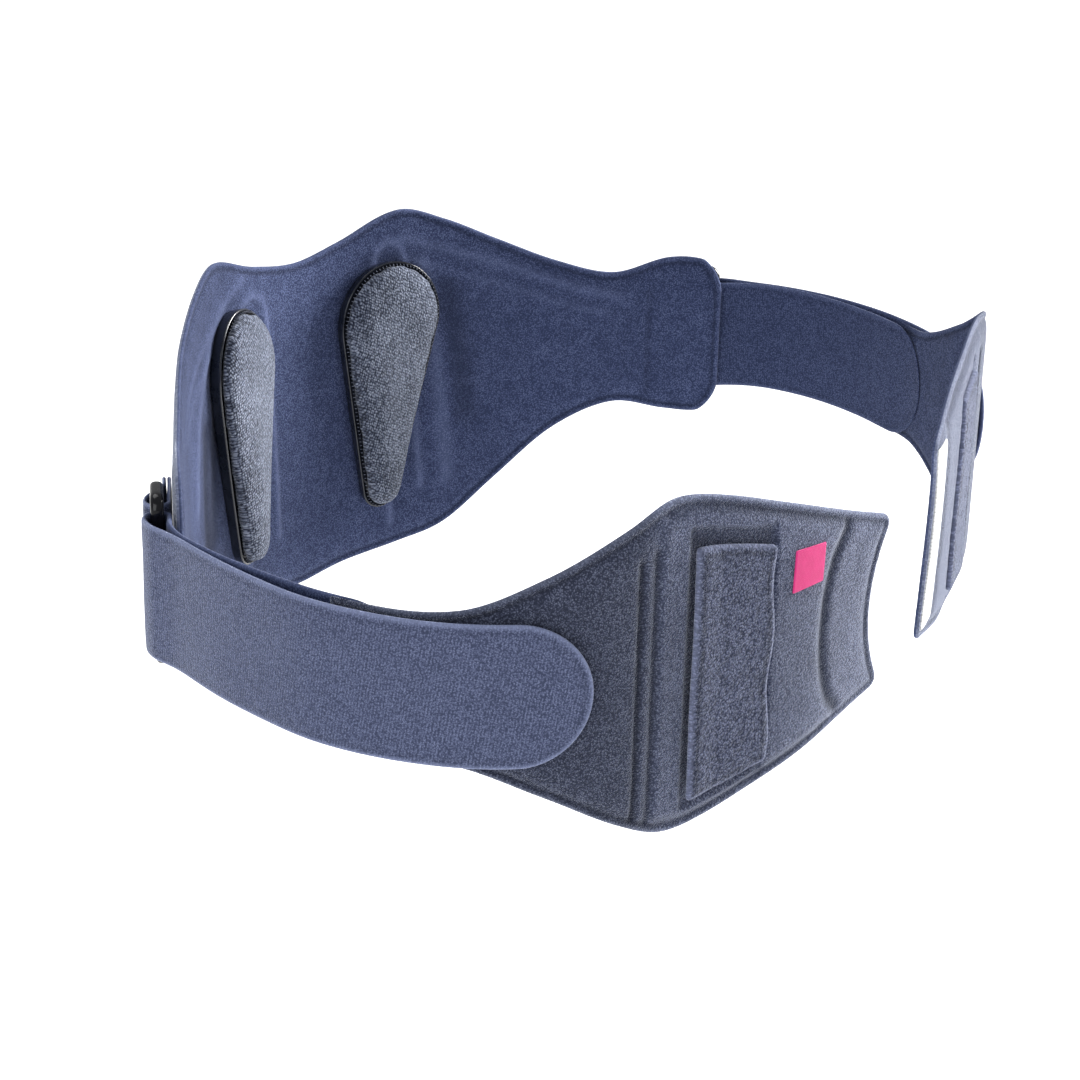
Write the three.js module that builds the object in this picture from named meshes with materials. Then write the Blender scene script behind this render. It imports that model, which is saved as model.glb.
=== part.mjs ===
// A lumbar support belt: a curved back panel, two elastic straps that run through rings, two front closures with
// hand flaps, and two teardrop pads inside. Millimetres, +Z up, the wearer faces -Y.
// The origin is the middle of the waist hollow, level with the middle of the straps.
import * as THREE from "three";

// Overall plan, measured on the middle of the walls.
const LOOP_WIDTH = 442;
const LOOP_DEPTH = 338;

// Walls and the clearance between pieces that lie on each other.
const BACK_WALL = 4;
const FRONT_WALL = 4;
const STRAP_WALL = 2;
const TAB_WALL = 1.6;
const HOOK_WALL = 1.2;
const LABEL_WALL = 0.8;
const CLEARANCE = 0.3;
const FOLD_CLEARANCE = 0.7; // between a bar's corners and the strip that is folded round it
const RIM_SHARE = 0.55; // how thick a padded wall still is at its rim

// Heights and widths.
const BACK_HEIGHT = 164;
const FRONT_HEIGHT = 124;
const STRAP_WIDTH = 52;
const TAB_HEIGHT = 50;
const TAB_LENGTH = 26;

// Rings: rounded rectangles of a flat bar.
const RING_BAR = 5;
const RING_LENGTH = 23;
const RING_PLAY = 2.5; // between the strap and each end of the window
const RING_INSET = 3; // from the end of the back panel back to the front bar's middle
const RING_BEVEL = 1.2;

// Places along each front course, as shares of its length from the ring to the free end.
const FRONT_START = { left: 0.308, right: 0.333 };
const STRAP_TIP = { left: 0.582, right: 0.56 };
const STRAP_SEAM = 0.41;
const HOOK_SHARE = 0.13;
const HOOK_MARGIN = 5; // from the strap's edge to the hook patch under its end

// Hand flaps and patches on the closures, as shares of the front panel.
const FLAP_WALL = 5;
const FLAP = { from: 0.562, to: 0.715, top: 0.72, bottom: -0.8 };
const LABEL = { from: 0.757, to: 0.822, top: 0.72, bottom: 0.4, skew: -0.006 };
const HOOK_PATCH = { from: 0.9, to: 0.965, reach: 0.9 };
const FREE_END_HOLLOW = 9; // how far the free end curves in

// Pads: thin shells with domed covers, seated on the inner face of the back panel.
const PAD_WIDTH = 54;
const PAD_HEIGHT = 118;
const PAD_SHELL = 4;
const PAD_CUSHION = 11;
const PAD_RIM_SHARE = 0.35; // how much of the cushion is left at its rim
const PAD_PLACE = { along: 0.22, low: -72, lean: 7 };

// The spine and the two ends of the back panel in plan, as shares of half the width and of half the depth: the soft
// loop stands a little to one side.
const SPINE_SIDE = 0.06;
const BACK_ENDS = {
  left: { side: -0.89, back: 0.215 },
  right: { side: 0.871, back: 0.325 },
};

// The plan of each half of the back: shares of the way from the spine to its end, sideways and forward.
const BACK_COURSE = {
  left: [
    { reach: 0, drop: 0 },
    { reach: 0.285, drop: 0.084 },
    { reach: 0.532, drop: 0.3 },
    { reach: 0.75, drop: 0.604 },
    { reach: 0.878, drop: 0.803 },
    { reach: 1, drop: 1 },
  ],
  right: [
    { reach: 0, drop: 0 },
    { reach: 0.3, drop: 0.089 },
    { reach: 0.56, drop: 0.318 },
    { reach: 0.79, drop: 0.641 },
    { reach: 0.915, drop: 0.822 },
    { reach: 1, drop: 1 },
  ],
};

// The plan of each front course after its ring: shares of half the width and of half the depth.
const FRONT_COURSE = {
  left: [
    { side: 0.967, back: 0.034 },
    { side: 0.985, back: -0.15 },
    { side: 0.985, back: -0.3 },
    { side: 0.957, back: -0.467 },
    { side: 0.903, back: -0.605 },
    { side: 0.81, back: -0.737 },
    { side: 0.738, back: -0.801 },
    { side: 0.652, back: -0.837 },
    { side: 0.544, back: -0.888 },
    { side: 0.399, back: -0.947 },
    { side: 0.205, back: -0.99 },
  ],
  right: [
    { side: 0.942, back: 0.215 },
    { side: 0.947, back: 0.056 },
    { side: 0.912, back: -0.128 },
    { side: 0.862, back: -0.27 },
    { side: 0.796, back: -0.4 },
    { side: 0.728, back: -0.513 },
    { side: 0.672, back: -0.606 },
    { side: 0.603, back: -0.66 },
    { side: 0.525, back: -0.692 },
    { side: 0.422, back: -0.737 },
    { side: 0.232, back: -0.827 },
    { side: 0.045, back: -0.912 },
  ],
};

// The back panel from the spine to its end: shares of its half length and of its height.
const BACK_OUTLINE = [
  { along: 0, top: 0.325, bottom: -0.625 },
  { along: 0.12, top: 0.355, bottom: -0.605 },
  { along: 0.27, top: 0.42, bottom: -0.58 },
  { along: 0.38, top: 0.38, bottom: -0.54 },
  { along: 0.5, top: 0.31, bottom: -0.415 },
  { along: 0.63, top: 0.24, bottom: -0.27 },
  { along: 0.76, top: 0.2, bottom: -0.198 },
  { along: 0.88, top: 0.24, bottom: -0.225 },
  { along: 0.96, top: 0.235, bottom: -0.23 },
  { along: 1, top: 0.165, bottom: -0.165 },
];

// Each front panel from its sewn end to its free end: shares of its length and of half its height.
const FRONT_OUTLINE = {
  left: [
    { along: 0, half: 0.43 },
    { along: 0.2, half: 0.455 },
    { along: 0.33, half: 0.642 },
    { along: 0.45, half: 0.87 },
    { along: 0.53, half: 0.99 },
    { along: 0.61, half: 0.965 },
    { along: 0.75, half: 0.818 },
    { along: 0.9, half: 0.64 },
    { along: 1, half: 0.53 },
  ],
  right: [
    { along: 0, half: 0.43 },
    { along: 0.1, half: 0.45 },
    { along: 0.25, half: 0.667 },
    { along: 0.35, half: 0.86 },
    { along: 0.45, half: 0.95 },
    { along: 0.55, half: 0.95 },
    { along: 0.7, half: 0.885 },
    { along: 0.85, half: 0.78 },
    { along: 1, half: 0.64 },
  ],
};

// A pad across its width: shares of its width and height, broad end up.
const PAD_OUTLINE = [
  { along: 0, top: 0.74, bottom: 0.6 },
  { along: 0.05, top: 0.83, bottom: 0.44 },
  { along: 0.2, top: 0.93, bottom: 0.2 },
  { along: 0.35, top: 0.98, bottom: 0.05 },
  { along: 0.5, top: 1, bottom: 0 },
  { along: 0.65, top: 0.98, bottom: 0.05 },
  { along: 0.8, top: 0.93, bottom: 0.2 },
  { along: 0.95, top: 0.83, bottom: 0.44 },
  { along: 1, top: 0.74, bottom: 0.6 },
];

// Where the two layers of the strap come together behind the ring, as shares of the front course, and how far
// before the front panel they part again. The layers turn round the bar from the share STRAP_TURN.
const LAYERS_CLOSE = { from: 0.01, to: 0.06 };
const LAYERS_PART = { from: 0.08, to: 0.02 };
const STRAP_TURN = 0.008;

// How finely the long walls are divided along their courses.
const BACK_STEPS = 76;
const FRONT_STEPS = 44;
const INSIDE_STEPS = 24;
const OUTSIDE_STEPS = 34;

// Levels from the lower rim to the upper rim of a wall, as shares of its height.
const PLAIN_LEVELS = [0, 1];
const RIM_LEVELS = [0, 0.04, 0.35, 0.65, 0.96, 1];
const DOME_LEVELS = [0, 0.08, 0.22, 0.4, 0.6, 0.78, 0.92, 1];

const COLOURS = {
  velour: { color: 0x59616f, roughness: 0.95, metalness: 0 },
  elastic: { color: 0x505c74, roughness: 0.9, metalness: 0 },
  hook: { color: 0xe9e9e6, roughness: 0.8, metalness: 0 },
  ring: { color: 0x16171a, roughness: 0.4, metalness: 0 },
  shell: { color: 0x2b2f38, roughness: 0.5, metalness: 0 },
  terry: { color: 0x636b7c, roughness: 1, metalness: 0 },
  label: { color: 0xd0247c, roughness: 0.7, metalness: 0 },
};

// A value that runs smoothly through the rows of a table, by the share in their column `along`, level at the first.
function smooth(rows, column) {
  const slopes = rows.map((row, i) => {
    if (i === 0) return 0;
    const before = rows[i - 1];
    const after = rows[Math.min(i + 1, rows.length - 1)];
    return (after[column] - before[column]) / (after.along - before.along);
  });
  return (share) => {
    let i = 0;
    while (i < rows.length - 2 && share > rows[i + 1].along) i += 1;
    const width = rows[i + 1].along - rows[i].along;
    const t = THREE.MathUtils.clamp((share - rows[i].along) / width, 0, 1);
    const start = 1 - t * t * (3 - 2 * t);
    const rise = t * (1 - t) * width;
    return (
      start * rows[i][column] +
      (1 - start) * rows[i + 1][column] +
      rise * ((1 - t) * slopes[i] - t * slopes[i + 1])
    );
  };
}

// A plan line with its length, and the spot and outward normal at any distance along it. Its knots are the shares
// of its length at the points that it was made from.
class Course {
  constructor(points) {
    const curve = new THREE.CatmullRomCurve3(points.map((p) => new THREE.Vector3(p.x, p.y, 0)));
    const pieces = 40;
    curve.arcLengthDivisions = pieces * (points.length - 1);
    this.curve = curve;
    this.length = curve.getLength();
    this.knots = points.map((_, i) => curve.getLengths()[pieces * i] / this.length);
  }

  at(distance) {
    const share = THREE.MathUtils.clamp(distance / this.length, 0, 1);
    const spot = this.curve.getPointAt(share);
    const tangent = this.curve.getTangentAt(share);
    spot.addScaledVector(tangent, distance - share * this.length);
    return { spot, tangent, normal: new THREE.Vector3(-tangent.y, tangent.x, 0) };
  }

  // The spot at a distance along the line, moved outward.
  beside(distance, outward) {
    const { spot, normal } = this.at(distance);
    return spot.addScaledVector(normal, outward);
  }
}

// A list of shares from 0 to 1, closer together towards each end that is round.
function shares(steps, roundStart = false, roundEnd = false) {
  return Array.from({ length: steps + 1 }, (_, i) => {
    const t = i / steps;
    if (roundStart && roundEnd) return (1 - Math.cos(Math.PI * t)) / 2;
    return roundEnd ? Math.sin((Math.PI / 2) * t) : t;
  });
}

// One closed wall that stands along a course. For a share along it and a level up it, `outer` and `inner` give
// its two faces as distances outward from the course, and `from` and `to` its two ends.
function wall({ course, from, to, low, high, outer, inner, along, levels = RIM_LEVELS, side = 1 }) {
  const loop = 2 * levels.length;
  const top = levels.length - 1;
  const positions = [];
  for (const share of along) {
    for (let k = 0; k < loop; k += 1) {
      const isOuter = k <= top;
      const level = levels[isOuter ? k : loop - 1 - k];
      const distance = THREE.MathUtils.lerp(from(level), to(level), share);
      const outward = isOuter ? outer(share, level) : inner(share, level);
      const spot = course.beside(distance, outward);
      const z = THREE.MathUtils.lerp(low(share), high(share), level);
      positions.push(side * spot.x, spot.y, z);
    }
  }
  const index = [];
  const quad = (a, b, c, d) => (side > 0 ? index.push(a, c, b, a, d, c) : index.push(a, b, c, a, c, d));
  const last = (along.length - 1) * loop;
  for (let row = 0; row < last; row += loop) {
    for (let k = 0; k < loop; k += 1) {
      const next = (k + 1) % loop;
      quad(row + k, row + loop + k, row + loop + next, row + next);
    }
  }
  for (let k = 0; k < top; k += 1) {
    quad(k, k + 1, loop - 2 - k, loop - 1 - k);
    quad(last + k, last + loop - 1 - k, last + loop - 2 - k, last + k + 1);
  }
  const geometry = new THREE.BufferGeometry();
  geometry.setAttribute("position", new THREE.Float32BufferAttribute(positions, 3));
  geometry.setIndex(index);
  return geometry;
}

function mesh(name, geometry, finish) {
  const made = new THREE.Mesh(geometry, new THREE.MeshStandardMaterial(COLOURS[finish]));
  made.name = name;
  return made;
}

// Half the thickness of a padded wall at a level: thinner at its rims.
function padded(thickness) {
  return (level) => (thickness / 2) * (level === 0 || level === 1 ? RIM_SHARE : 1);
}

const halfWidth = LOOP_WIDTH / 2;
const halfDepth = LOOP_DEPTH / 2;

function planSpot(row) {
  return { x: row.side * halfWidth, y: row.back * halfDepth };
}

function backSpot(row, label) {
  const end = BACK_ENDS[label];
  const side = THREE.MathUtils.lerp(SPINE_SIDE, end.side, row.reach);
  const back = THREE.MathUtils.lerp(1, end.back, row.drop);
  return planSpot({ side, back });
}

const backSpots = [
  ...BACK_COURSE.left.toReversed().map((row) => backSpot(row, "left")),
  ...BACK_COURSE.right.slice(1).map((row) => backSpot(row, "right")),
];
const mirroredSpots = backSpots.toReversed().map(({ x, y }) => ({ x: -x, y }));

// The back course as each side's pieces use it: from the other end to their own, with their side on the right.
const backCourses = { left: new Course(mirroredSpots), right: new Course(backSpots) };

function spineShare(label) {
  const other = label === "left" ? "right" : "left";
  return backCourses[label].knots[BACK_COURSE[other].length - 1];
}

// A strip that is folded round a bar clears the bar's corners. The inner layer of the strap lies on the end of the
// back panel, so the ring stands off by that much.
const barReach = Math.hypot(RING_BAR / 2, RING_BAR / 2 - RING_BEVEL) + FOLD_CLEARANCE;
const tabReach = barReach + TAB_WALL / 2;
const strapReach = barReach + STRAP_WALL / 2;
const tabOnPanel = BACK_WALL / 2 + CLEARANCE + TAB_WALL / 2;
const ringOutward = BACK_WALL / 2 + CLEARANCE + STRAP_WALL / 2 + strapReach;
const ringWindow = STRAP_WIDTH + 2 * RING_PLAY;
const ringBarGap = RING_LENGTH - RING_BAR;

function frontBar(label) {
  const course = backCourses[label];
  return course.beside(course.length - RING_INSET, ringOutward);
}

// Where the strap has passed the end of the back panel, and may turn.
function strapLead(label) {
  const course = backCourses[label];
  return course.beside(course.length + BACK_WALL / 2, ringOutward + CLEARANCE);
}

function backPanel() {
  const course = backCourses.right;
  const spine = spineShare("right");
  const top = smooth(BACK_OUTLINE, "top");
  const bottom = smooth(BACK_OUTLINE, "bottom");
  const half = padded(BACK_WALL);
  const spread = (share) => (share < spine ? 1 - share / spine : (share - spine) / (1 - spine));
  return mesh(
    "back_panel",
    wall({
      course,
      from: () => 0,
      to: () => course.length,
      low: (share) => BACK_HEIGHT * bottom(spread(share)),
      high: (share) => BACK_HEIGHT * top(spread(share)),
      outer: (share, level) => half(level),
      inner: (share, level) => -half(level),
      along: shares(BACK_STEPS),
    }),
    "velour",
  );
}

function roundedOutline(Kind, width, height, radius) {
  const outline = new Kind();
  const x = width / 2 - radius;
  const y = height / 2 - radius;
  outline.absarc(x, y, radius, 0, Math.PI / 2);
  outline.absarc(-x, y, radius, Math.PI / 2, Math.PI);
  outline.absarc(-x, -y, radius, Math.PI, 1.5 * Math.PI);
  outline.absarc(x, -y, radius, 1.5 * Math.PI, 2 * Math.PI);
  return outline;
}

function ring(label, side) {
  const bevel = RING_BEVEL;
  const outline = roundedOutline(
    THREE.Shape,
    RING_LENGTH - 2 * bevel,
    ringWindow + 2 * (RING_BAR - bevel),
    RING_BAR - bevel,
  );
  const window = roundedOutline(
    THREE.Path,
    RING_LENGTH - 2 * (RING_BAR - bevel),
    ringWindow + 2 * bevel,
    RING_BAR / 2,
  );
  outline.holes.push(window);
  const geometry = new THREE.ExtrudeGeometry(outline, {
    depth: RING_BAR - 2 * bevel,
    bevelThickness: bevel,
    bevelSize: bevel,
    bevelSegments: 2,
    curveSegments: 5,
  });
  geometry.translate(0, 0, bevel - RING_BAR / 2);
  const course = backCourses[label];
  const { tangent } = course.at(course.length - RING_INSET);
  const forward = new THREE.Vector3(side * tangent.x, tangent.y, 0);
  const up = new THREE.Vector3(0, 0, 1);
  const made = mesh("ring_" + label, geometry, "ring");
  made.applyMatrix4(new THREE.Matrix4().makeBasis(forward, up, forward.clone().cross(up)));
  const middle = frontBar(label).addScaledVector(tangent, -ringBarGap / 2);
  made.position.set(side * middle.x, middle.y, 0);
  return made;
}

// A folded strip: along one layer to a bar, round the bar, and back along the other layer.
// `turnBack` is the direction in which the fold bulges away from the layers.
function foldedCourse(firstLayer, bar, turnBack, reach, lastLayer) {
  const across = new THREE.Vector3(-turnBack.y, turnBack.x, 0);
  const fold = [];
  for (let angle = -75; angle <= 75; angle += 15) {
    const turn = THREE.MathUtils.degToRad(angle);
    fold.push(
      bar
        .clone()
        .addScaledVector(turnBack, reach * Math.cos(turn))
        .addScaledVector(across, reach * Math.sin(turn)),
    );
  }
  const end = lastLayer[0].distanceTo(fold[fold.length - 1]);
  const start = lastLayer[0].distanceTo(fold[0]);
  return new Course([...firstLayer, ...(end < start ? fold : fold.toReversed()), ...lastLayer]);
}

function ringTab(label, side) {
  const back = backCourses[label];
  const { tangent } = back.at(back.length - RING_INSET);
  const bar = frontBar(label).addScaledVector(tangent, -ringBarGap);
  const fold = back.length - RING_INSET - ringBarGap;
  const layer = (from, to, outward) =>
    Array.from({ length: 7 }, (_, i) => {
      const t = i / 6;
      return back.beside(THREE.MathUtils.lerp(from, to, t), outward(t));
    });
  const ease = (t) => THREE.MathUtils.smoothstep(t, 0, 0.7);
  const outOnLayer = tabOnPanel + TAB_WALL + CLEARANCE;
  const inside = layer(fold - TAB_LENGTH, fold - tabReach / 2, (t) =>
    THREE.MathUtils.lerp(ringOutward - tabReach, tabOnPanel, ease(1 - t)),
  );
  const outside = layer(fold - tabReach / 2, fold - TAB_LENGTH, (t) =>
    THREE.MathUtils.lerp(ringOutward + tabReach, outOnLayer, ease(t)),
  );
  const course = foldedCourse(inside, bar, tangent, tabReach, outside);
  return mesh(
    "ring_tab_" + label,
    wall({
      course,
      from: () => 0,
      to: () => course.length,
      low: () => -TAB_HEIGHT / 2,
      high: () => TAB_HEIGHT / 2,
      outer: () => TAB_WALL / 2,
      inner: () => -TAB_WALL / 2,
      along: course.knots,
      levels: PLAIN_LEVELS,
      side,
    }),
    "velour",
  );
}

// The half height of a strip at a share of its length, with a round end of the given length.
function roundEnd(half, length, roundLength) {
  const smallest = 0.1;
  return (share) => {
    const into = Math.max(0, (share - 1) * length + roundLength) / roundLength;
    return half * Math.max(smallest, Math.sqrt(Math.max(0, 1 - into * into)));
  };
}

// The course of one side from its ring to its free end, with the pieces that lie along it.
class FrontSide {
  constructor(label, side) {
    this.label = label;
    this.side = side;
    this.course = new Course([frontBar(label), strapLead(label), ...FRONT_COURSE[label].map(planSpot)]);
    this.half = smooth(FRONT_OUTLINE[label], "half");
    this.start = FRONT_START[label] * this.course.length;
    this.panelLength = this.course.length - this.start;
  }

  // Half the height of the front panel at a share of its length.
  halfHeight(share) {
    return (FRONT_HEIGHT / 2) * this.half(share);
  }

  distance(panelShare) {
    return this.start + panelShare * this.panelLength;
  }

  frontPanel() {
    const half = padded(FRONT_WALL);
    const hollow = (level) => FREE_END_HOLLOW * 4 * level * (1 - level);
    return mesh(
      "front_panel_" + this.label,
      wall({
        course: this.course,
        from: () => this.start,
        to: (level) => this.course.length - hollow(level),
        low: (share) => -this.halfHeight(share),
        high: (share) => this.halfHeight(share),
        outer: (share, level) => half(level),
        inner: (share, level) => -half(level),
        along: shares(FRONT_STEPS),
        side: this.side,
      }),
      "velour",
    );
  }

  // The gap from the course to the middle of a strap layer: wide at the ring, narrow on the free run, wide again
  // where the front panel lies between the layers.
  layerOffset(onPanel) {
    const free = STRAP_WALL / 2 + CLEARANCE;
    const panel = FRONT_START[this.label];
    return smooth(
      [
        { along: 0, offset: strapReach },
        { along: LAYERS_CLOSE.from, offset: strapReach },
        { along: LAYERS_CLOSE.to, offset: free },
        { along: panel - LAYERS_PART.from, offset: free },
        { along: panel - LAYERS_PART.to, offset: onPanel },
        { along: 1, offset: onPanel },
      ],
      "offset",
    );
  }

  strap() {
    const inward = this.layerOffset(FRONT_WALL / 2 + CLEARANCE + STRAP_WALL / 2);
    const outward = this.layerOffset(FRONT_WALL / 2 + HOOK_WALL + 2 * CLEARANCE + STRAP_WALL / 2);
    const layer = (from, to, steps, offset) =>
      Array.from({ length: steps + 1 }, (_, i) => {
        const share = THREE.MathUtils.lerp(from, to, i / steps);
        return this.course.beside(share * this.course.length, offset(share));
      });
    const inside = layer(STRAP_SEAM, STRAP_TURN, INSIDE_STEPS, (share) => -inward(share));
    const outside = layer(STRAP_TURN, STRAP_TIP[this.label], OUTSIDE_STEPS, outward);
    const turnBack = this.course.at(0).tangent.negate();
    const course = foldedCourse(inside, this.course.at(0).spot, turnBack, strapReach, outside);
    const half = roundEnd(STRAP_WIDTH / 2, course.length, STRAP_WIDTH / 2);
    const roundStart = 1 - STRAP_WIDTH / 2 / course.length;
    const plain = course.knots.filter((share) => share < roundStart);
    const tail = shares(10, false, true).map((t) => THREE.MathUtils.lerp(roundStart, 1, t));
    return mesh(
      "strap_" + this.label,
      wall({
        course,
        from: () => 0,
        to: () => course.length,
        low: (share) => -half(share),
        high: half,
        outer: () => STRAP_WALL / 2,
        inner: () => -STRAP_WALL / 2,
        along: [...plain, ...tail],
        levels: PLAIN_LEVELS,
        side: this.side,
      }),
      "elastic",
    );
  }

  // A thin patch on the outer face of the front panel, given by shares of the panel.
  patch(name, finish, thickness, { from, to, top, bottom, skew = 0 }, levels = PLAIN_LEVELS) {
    const seat = FRONT_WALL / 2 + CLEARANCE;
    const height = (share) => this.halfHeight(THREE.MathUtils.lerp(from, to, share));
    return mesh(
      name,
      wall({
        course: this.course,
        from: (level) => this.distance(from + skew * level),
        to: (level) => this.distance(to + skew * level),
        low: (share) => bottom * height(share),
        high: (share) => top * height(share),
        outer: (share, level) => seat + (level === 0 || level === 1 ? RIM_SHARE : 1) * thickness,
        inner: () => seat,
        along: shares(10),
        levels,
        side: this.side,
      }),
      finish,
    );
  }

  strapHook() {
    const length = HOOK_SHARE * this.course.length;
    const halfWide = STRAP_WIDTH / 2 - HOOK_MARGIN;
    const end = STRAP_TIP[this.label] * this.course.length - HOOK_MARGIN;
    const half = roundEnd(halfWide, length, halfWide);
    const seat = FRONT_WALL / 2 + CLEARANCE;
    return mesh(
      "strap_hook_" + this.label,
      wall({
        course: this.course,
        from: () => end - length,
        to: () => end,
        low: (share) => -half(share),
        high: half,
        outer: () => seat + HOOK_WALL,
        inner: () => seat,
        along: shares(14, false, true),
        levels: PLAIN_LEVELS,
        side: this.side,
      }),
      "hook",
    );
  }
}

// One pad: its shell seats on the inner face of the back panel, and its cover domes towards the wearer.
function pad(label, side) {
  const top = smooth(PAD_OUTLINE, "top");
  const bottom = smooth(PAD_OUTLINE, "bottom");
  const course = backCourses[label];
  const middle = THREE.MathUtils.lerp(spineShare(label), 1, PAD_PLACE.along) * course.length;
  const face = -BACK_WALL / 2 - CLEARANCE;
  const parting = face - PAD_SHELL;
  const dome = (share, level) => Math.sqrt(Math.max(0, (1 - (2 * share - 1) ** 4) * (1 - (2 * level - 1) ** 4)));
  const shape = (width, outer, inner) => ({
    course,
    from: (level) => middle - width / 2 + PAD_PLACE.lean * (level - 0.5),
    to: (level) => middle + width / 2 + PAD_PLACE.lean * (level - 0.5),
    low: (share) => PAD_PLACE.low + PAD_HEIGHT * bottom(share),
    high: (share) => PAD_PLACE.low + PAD_HEIGHT * top(share),
    outer,
    inner,
    along: shares(16, true, true),
    levels: DOME_LEVELS,
    side,
  });
  const cushion = (share, level) => PAD_CUSHION * THREE.MathUtils.lerp(PAD_RIM_SHARE, 1, dome(share, level));
  return [
    mesh(
      "pad_base_" + label,
      wall(
        shape(
          PAD_WIDTH,
          () => face,
          () => parting,
        ),
      ),
      "shell",
    ),
    mesh(
      "pad_cover_" + label,
      wall(
        shape(
          PAD_WIDTH,
          () => parting - CLEARANCE,
          (share, level) => parting - CLEARANCE - cushion(share, level),
        ),
      ),
      "terry",
    ),
  ];
}

const belt = new THREE.Group();
belt.add(backPanel());
for (const [label, side] of [
  ["left", -1],
  ["right", 1],
]) {
  const front = new FrontSide(label, side);
  belt.add(ring(label, side), ringTab(label, side));
  belt.add(front.frontPanel(), front.strap(), front.strapHook());
  belt.add(front.patch("hand_flap_" + label, "velour", FLAP_WALL, FLAP, RIM_LEVELS));
  belt.add(...pad(label, side));
  if (label === "left") belt.add(front.patch("label_left", "label", LABEL_WALL, LABEL));
  else {
    const reach = { top: HOOK_PATCH.reach, bottom: -HOOK_PATCH.reach };
    belt.add(front.patch("hook_patch_right", "hook", HOOK_WALL, { ...HOOK_PATCH, ...reach }));
  }
}

export default belt;
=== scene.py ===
"""A lumbar support belt in its worn shape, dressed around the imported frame.

Panels, straps and patches are sheets that stand along plan courses. Each is laid out flat first, as a
cutter would, with its outline, its sewn lines and its thickness, and is then stood up along its course.
Sizes are in millimetres, and meshes in metres.
"""

import logging
import math
from dataclasses import dataclass, field
from enum import Enum
from typing import Callable, Sequence

import bmesh
import bpy
import numpy as np
from mathutils import Matrix, Vector, noise


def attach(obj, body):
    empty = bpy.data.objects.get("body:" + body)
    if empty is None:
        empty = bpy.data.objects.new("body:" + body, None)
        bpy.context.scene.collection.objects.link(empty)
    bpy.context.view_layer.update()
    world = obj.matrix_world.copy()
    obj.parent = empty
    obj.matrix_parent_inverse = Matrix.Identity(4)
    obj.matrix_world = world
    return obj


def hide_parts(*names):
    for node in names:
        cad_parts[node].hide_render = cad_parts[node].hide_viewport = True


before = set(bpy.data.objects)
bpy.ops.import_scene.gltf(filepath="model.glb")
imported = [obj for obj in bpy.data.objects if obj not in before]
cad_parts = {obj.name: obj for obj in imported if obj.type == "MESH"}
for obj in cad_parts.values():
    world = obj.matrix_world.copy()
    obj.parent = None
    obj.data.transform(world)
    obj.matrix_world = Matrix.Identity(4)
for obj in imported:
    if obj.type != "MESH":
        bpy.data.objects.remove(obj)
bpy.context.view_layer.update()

MM = 0.001
WEAR_AND_SHADING = "wear_and_shading"
TONE = "tone"
CUT = "cut"
LOG = logging.getLogger("belt")
Colour = tuple[float, float, float]
Spot = tuple[float, float]
# The smallest divisor and the smallest length that count
TINY = 1e-12
HAIR = 1e-9
FlatRule = Callable[[np.ndarray, np.ndarray], np.ndarray]


class Hand(Enum):
    """Which half of the belt a piece belongs to, as seen from the front."""

    LEFT = "left"
    RIGHT = "right"

    @property
    def side(self) -> int:
        """The sign of x on this half."""
        return -1 if self is Hand.LEFT else 1


class Face(Enum):
    """The two faces of a sheet: away from the wearer, or towards them."""

    OUTER = "outer"
    INNER = "inner"


OUTSIDE = (Face.OUTER,)
INSIDE = (Face.INNER,)
BOTH = (Face.OUTER, Face.INNER)


# Sizes of the belt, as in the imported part


@dataclass(frozen=True)
class BeltSizes:
    """Walls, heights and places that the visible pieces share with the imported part."""

    half_width: float = 221.0
    half_depth: float = 169.0
    back_wall: float = 4.0
    front_wall: float = 4.0
    strap_wall: float = 2.0
    tab_wall: float = 1.6
    hook_wall: float = 1.2
    label_wall: float = 0.8
    flap_wall: float = 5.0
    clearance: float = 0.3
    fold_clearance: float = 0.7
    back_height: float = 164.0
    front_height: float = 124.0
    strap_width: float = 52.0
    tab_height: float = 50.0
    tab_length: float = 26.0
    ring_bar: float = 5.0
    ring_length: float = 23.0
    ring_play: float = 2.5
    ring_inset: float = 3.0
    ring_bevel: float = 1.2
    free_end_hollow: float = 9.0
    strap_seam: float = 0.41
    strap_turn: float = 0.008
    hook_share: float = 0.13
    hook_margin: float = 5.0

    @property
    def bar_reach(self) -> float:
        """From a bar's middle to a strip that is folded round it."""
        half = self.ring_bar / 2
        return math.hypot(half, half - self.ring_bevel) + self.fold_clearance

    @property
    def strap_reach(self) -> float:
        """From a bar's middle to the middle of the folded strap."""
        return self.bar_reach + self.strap_wall / 2

    @property
    def tab_reach(self) -> float:
        """From a bar's middle to the middle of the folded tab."""
        return self.bar_reach + self.tab_wall / 2

    @property
    def ring_outward(self) -> float:
        """From the middle of the back panel to the middle of the ring."""
        return self.back_wall / 2 + self.clearance + self.strap_wall / 2 + self.strap_reach

    @property
    def ring_window(self) -> float:
        """The height of the ring's opening."""
        return self.strap_width + 2 * self.ring_play

    @property
    def bar_gap(self) -> float:
        """From the middle of one upright bar of the ring to the middle of the other."""
        return self.ring_length - self.ring_bar


SIZES = BeltSizes()
FRONT_START = {Hand.LEFT: 0.308, Hand.RIGHT: 0.333}
STRAP_TIP = {Hand.LEFT: 0.582, Hand.RIGHT: 0.56}
LAYERS_CLOSE = (0.01, 0.06)
LAYERS_PART = (0.2, 0.04)
SPINE_SIDE = 0.06
BACK_END = {Hand.LEFT: (-0.89, 0.215), Hand.RIGHT: (0.871, 0.325)}

# The plan of each half of the back: shares of the way from the spine to its end, sideways and forward
BACK_COURSE = {
    Hand.LEFT: ((0, 0), (0.285, 0.084), (0.532, 0.3), (0.75, 0.604), (0.878, 0.803), (1, 1)),
    Hand.RIGHT: ((0, 0), (0.3, 0.089), (0.56, 0.318), (0.79, 0.641), (0.915, 0.822), (1, 1)),
}

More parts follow.
